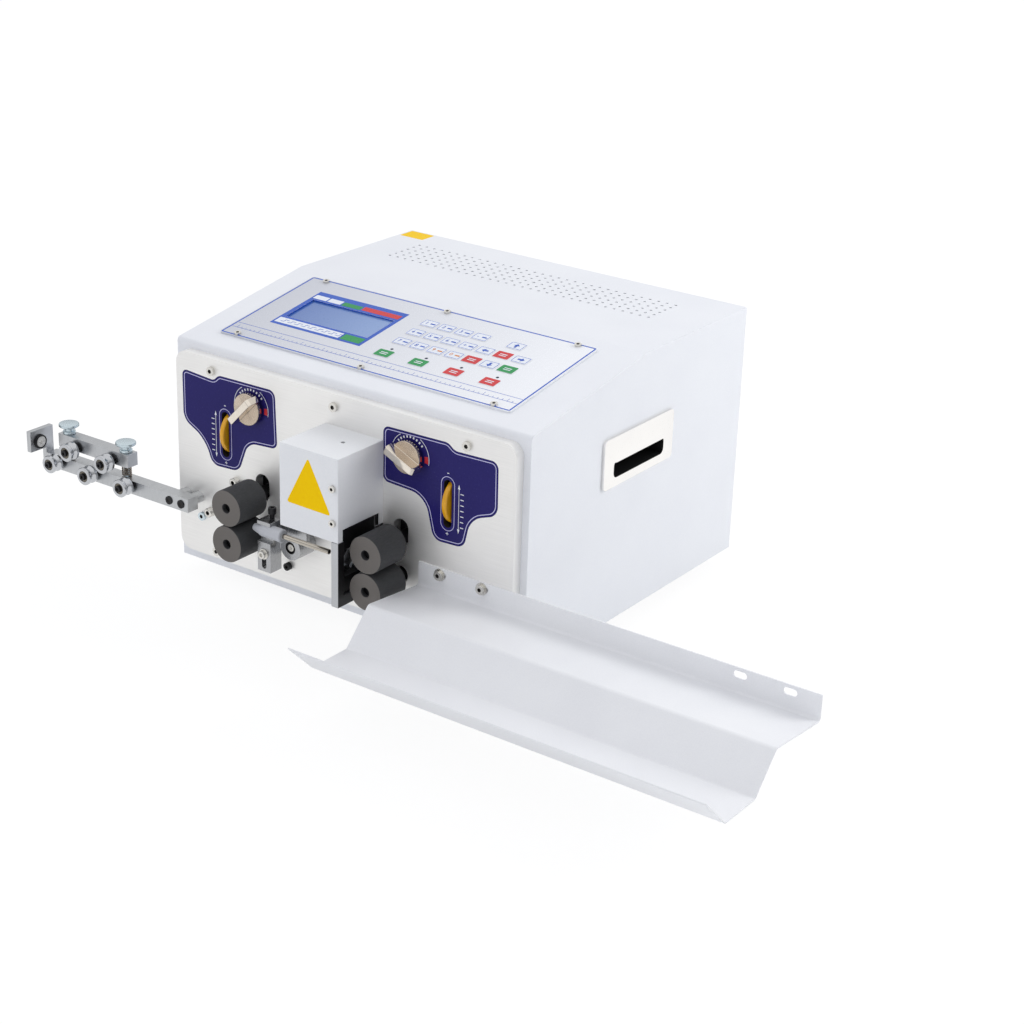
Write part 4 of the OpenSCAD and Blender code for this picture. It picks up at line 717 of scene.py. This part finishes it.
def coil(name, node, middles, radius, wire, low, high, turns, body):
    """Smooth coil springs between two heights, in millimetres, that stand for a CAD node."""
    shape = bmesh.new()
    steps = 20
    for x, y in middles:
        turn = Matrix.Translation((x + radius, y, low + wire)) @ Matrix.Rotation(math.radians(90), 4, "X")
        made = bmesh.ops.create_circle(shape, cap_ends=False, segments=10, radius=wire, matrix=turn)
        ring = list({edge for vert in made["verts"] for edge in vert.link_edges})
        climb = (high - low - 2 * wire) / (turns * steps)
        bmesh.ops.spin(shape, geom=made["verts"] + ring, cent=(x, y, 0), axis=(0, 0, 1),
                       dvec=(0, 0, climb), angle=math.radians(360 * turns), steps=turns * steps)
    bmesh.ops.holes_fill(shape, edges=[edge for edge in shape.edges if edge.is_boundary], sides=0)
    bmesh.ops.recalc_face_normals(shape, faces=shape.faces)
    bmesh.ops.scale(shape, vec=(MM, MM, MM), verts=shape.verts)
    for face in shape.faces:
        face.smooth = True
    made = piece(name, shape, [spring_steel], body)
    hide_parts(node)
    return made


LIFT_SPRING, LIFT = (121.6, 145.5), 5
for hand, x in (("left", -86.35), ("right", 70.15)):
    spring = coil(hand + "_pressure_coil", hand + "_pressure_spring", [(x, -165)], 3.2, 0.6, *LIFT_SPRING,
                  6, "machine")
    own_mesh(spring)

# Lift knobs and thumbwheels
# Die-cast knobs on the spindles of the lifting eccentrics, and moulded wheels that show through
# slots of the plate and load the pressure springs.
# Moulded acetal: even yellow, satin
yellow_plastic = surface("yellow_acetal", "#edae1a", "#e2a213", (1.5, 1.5, 1.5), 0.004, (0.16, 0.26))
# Nickel on a casting: turned on the disc, with rings drawn coarse enough to show as the spokes of
# light that turned metal has, and polished by hands on the grip
polished_nickel = surface("polished_nickel", "#e6ded3", "#dcd3c7", (3, 3, 3), 0.002, (0.07, 0.13),
                          metallic=1.0)
KNOB_FACE = -187


def knob_finish(face):
    """The grip in front of the disc is polished."""
    return 1 if face.calc_center_median().y < (KNOB_FACE - 0.3) * MM else 0


for hand, x in (("left", labels["left"]["knob"]), ("right", labels["right"]["knob"])):
    turned_nickel = surface("turned_nickel_" + hand, "#cdbfb0", "#bfb0a0", (0.45, 0.45, 0.45), 0.06,
                            (0.14, 0.24), metallic=1.0, turned=(x, KNOB_Z))
    eased(hand + "_lift_knob", [turned_nickel, polished_nickel], 1.0, pick=knob_finish)
    eased(hand + "_lift_cam", [black_steel], 0.3)
    eased(hand + "_thumbwheel", [yellow_plastic], 0.8)

# Guide pipe
# A swing arm on a turned boss, with a slotted block and clamp that hold the nozzle in the nip and
# the thin pipe in front of the blades.
# Machined steel: pale grey, with fine turning marks
machined_steel = surface("machined_steel", "#b3b4b6", "#a4a5a8", (0.5, 0.5, 9), 0.004, (0.2, 0.32),
                         metallic=1.0)
eased("guide_boss", [machined_steel], 0.5)
PIVOT_X, PIVOT_Z, RECESS, ARM_Y = -36, 75, 5.7, -201.3
CLAMP_TOP = 98


def arm_recess_shade_pick(face):
    """The recess of the pivot screw is painted black as shade."""
    x, y, z = face.calc_center_median() / MM
    return 1 if math.hypot(x - PIVOT_X, z - PIVOT_Z) < RECESS and ARM_Y + 0.3 < y < ARM_Y + 3 else 0


eased("guide_arm", [machined_steel, black_steel], 0.5, pick=arm_recess_shade_pick)


def guide_screw_finish(face):
    """The screw on top of the clamp is black, those in the slot and the pivot are plated."""
    return 1 if face.calc_center_median().z > CLAMP_TOP * MM else 0


eased("guide_screws", [nickel, black_steel], 0.3, pick=guide_screw_finish)
# Glass-filled nylon: the pale grey of the nozzle, dull
nozzle_nylon = surface("pale_nylon", "#c6c8cd", "#bcbec4", (0.7, 0.7, 0.7), 0.01, (0.4, 0.5))
NOZZLE_END = -34


def pipe_finish(face):
    """The nozzle is nylon, the pipe in it steel."""
    return 0 if face.calc_center_median().x < (NOZZLE_END + 0.3) * MM else 1


# Drawn tube: stainless, bright, with long fine marks
drawn_tube = surface("drawn_stainless_tube", "#b9b3aa", "#a8a298", (20, 0.6, 0.6), 0.001, (0.1, 0.18),
                     metallic=1.0)
eased("guide_pipe", [nozzle_nylon, drawn_tube], 0.2, pick=pipe_finish)

# Wire straightener
# Two aluminium bars with chromed ball-bearing rollers in a zigzag. Knurled zinc thumbscrews pull the
# upper bar down against springs, and a bushed plate leads the wire in.
eased("straightener_bar", [bar_aluminium], 0.4)
eased("straightener_upper_bar", [bar_aluminium], 0.4)
WIRE_Y, INLET_Z, INLET_HOLE = -212, 103.5, 6.58


def inlet_bush_shade_pick(face):
    """The bush in the plate is black, as painted shade for the dark ring round the eyelet."""
    reach = max(math.hypot(vert.co.y / MM - WIRE_Y, vert.co.z / MM - INLET_Z) for vert in face.verts)
    return 1 if reach < INLET_HOLE else 0


eased("inlet_plate", [bar_aluminium, black_steel], 0.35, pick=inlet_bush_shade_pick)
eased("upper_axles", [black_steel], 0.3)
# Hard chrome: ground before it was plated, so less than a mirror
roll_chrome = surface("hard_chrome", "#c6c8cb", "#b9bbbf", (0.6, 6, 0.6), 0.002, (0.12, 0.2), metallic=1.0)
# Bearing shield: pressed steel with a film of grease
shield_steel = surface("greased_bearing_shield", "#7b766c", "#6d685f", (1.2, 1.2, 1.2), 0.004, (0.3, 0.45),
                       metallic=0.8)
# Ceramic eyelet in the bush: white, glazed
ceramic = surface("glazed_ceramic", "#f2f1ee", "#eae9e6", (2, 2, 2), 0.001, (0.15, 0.25))
EYELET = [(1.6, -338), (1.6, -335.4), (2.2, -334.8), (5.2, -334.8), (5.2, -338)]
eyelet = spun([(x, WIRE_Y + r, INLET_Z) for r, x in EYELET], (0, WIRE_Y, INLET_Z), (1, 0, 0), 40)
piece("inlet_eyelet", eyelet, [ceramic], "machine")
ROLL_FRONT = -218
SHIELD = [(3.45, 0.4), (4.95, 0.4), (4.95, 1.35), (3.45, 1.35)]
rollers = {"lower_roll_a": (-320.5, 85.5), "lower_roll_b": (-274.5, 85.5), "lower_roll_c": (-228.5, 85.5),
           "upper_roll_a": (-297.5, 103), "upper_roll_b": (-251.5, 103)}
for name, (x, z) in rollers.items():
    eased(name, [roll_chrome], 0.3)
    ring = spun([(x + r, ROLL_FRONT + depth, z) for r, depth in SHIELD], (x, 0, z), (0, 1, 0), 40)
    piece(name + "_bearing", ring, [shield_steel], frame["nodes"][name]["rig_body"])

THUMB_Y = -198
THUMBS = {"left": -311.5, "right": -237.5}
BAR_SPRING, BAR_DROP = (90.05, 100.95), 2.4
spring = coil("straightener_coils", "straightener_springs", [(x, THUMB_Y) for x in THUMBS.values()], 4.1,
              0.6, *BAR_SPRING, 5, "machine")
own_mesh(spring)

HEAD_R, KNURLS = 9.5, 48
THUMBSCREW = [(0, 81), (2.5, 81), (2.5, 114), (5.6, 114), (6, 114.4), (6, 116.4), (5.6, 116.8), (4.3, 116.8),
              (3.9, 117.4), (3.9, 120.2), (4.4, 120.8), (8.7, 120.8), (HEAD_R, 121.4), (HEAD_R, 123.2),
              (9.2, 123.7), (8.6, 124), (0, 124)]
for hand, x in THUMBS.items():
    shape = spun([(x + r, THUMB_Y, z) for r, z in THUMBSCREW], (x, THUMB_Y, 0), (0, 0, 1), 2 * KNURLS)
    middle = Matrix.Translation((-x * MM, -THUMB_Y * MM, 0))
    notches = []
    for vert in shape.verts:
        out = (middle @ vert.co).xy
        if out.length > (HEAD_R - 0.1) * MM and round(math.atan2(out.y, out.x) * KNURLS / math.pi) % 2:
            notches.append(vert)
    bmesh.ops.scale(shape, vec=(0.97, 0.97, 1), verts=notches, space=middle)
    made = piece(hand + "_knurled_screw", shape, [zinc], hand + "_thumb")
    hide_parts(hand + "_thumbscrew")

# Collecting tray
# A long trough folded from thin steel sheet, which hangs by two screws on the front plate and has
# spare slots at its far end.
# Tray paint: the same kind of powder coat as the case, a shade greyer
tray_paint = surface("light_grey_powder_coat", "#f2f3f5", "#ecedf0", (1.1, 1.1, 1.1), 0.006, (0.34, 0.44))
eased("wire_tray", [tray_paint], 0.3, longer=0.4, steps=1)

# Mains inlet, supply and board
# A moulded inlet with a rocker switch, snapped into the back panel, and the power supply and the
# control board, screwed to the pan inside the case.
# Moulded nylon: black, with a fine spark-eroded texture
black_plastic = surface("moulded_nylon", "#1a1a1b", "#222223", (0.5, 0.5, 0.5), 0.02, (0.45, 0.6))
# Polished polycarbonate: deep red and glossy
red_plastic = surface("red_polycarbonate", "#9c1513", "#8c100f", (2, 2, 2), 0.001, (0.12, 0.2), coat=0.3)
# Zinc-coated sheet: dull silver with spangles some millimetres wide
supply_sheet = surface("galvanised_sheet", "#c2c5c8", "#aeb2b6", (5, 5, 5), 0.002, (0.3, 0.45),
                       metallic=1.0)
# Solder mask: green lacquer over copper
board_green = surface("green_solder_mask", "#1c5a34", "#174d2c", (1.2, 1.2, 1.2), 0.01, (0.25, 0.4))
eased("power_inlet", [black_plastic], 0.5)
eased("power_rocker", [red_plastic], 0.4)
coated(supply_sheet, "power_supply")
coated(board_green, "control_board")
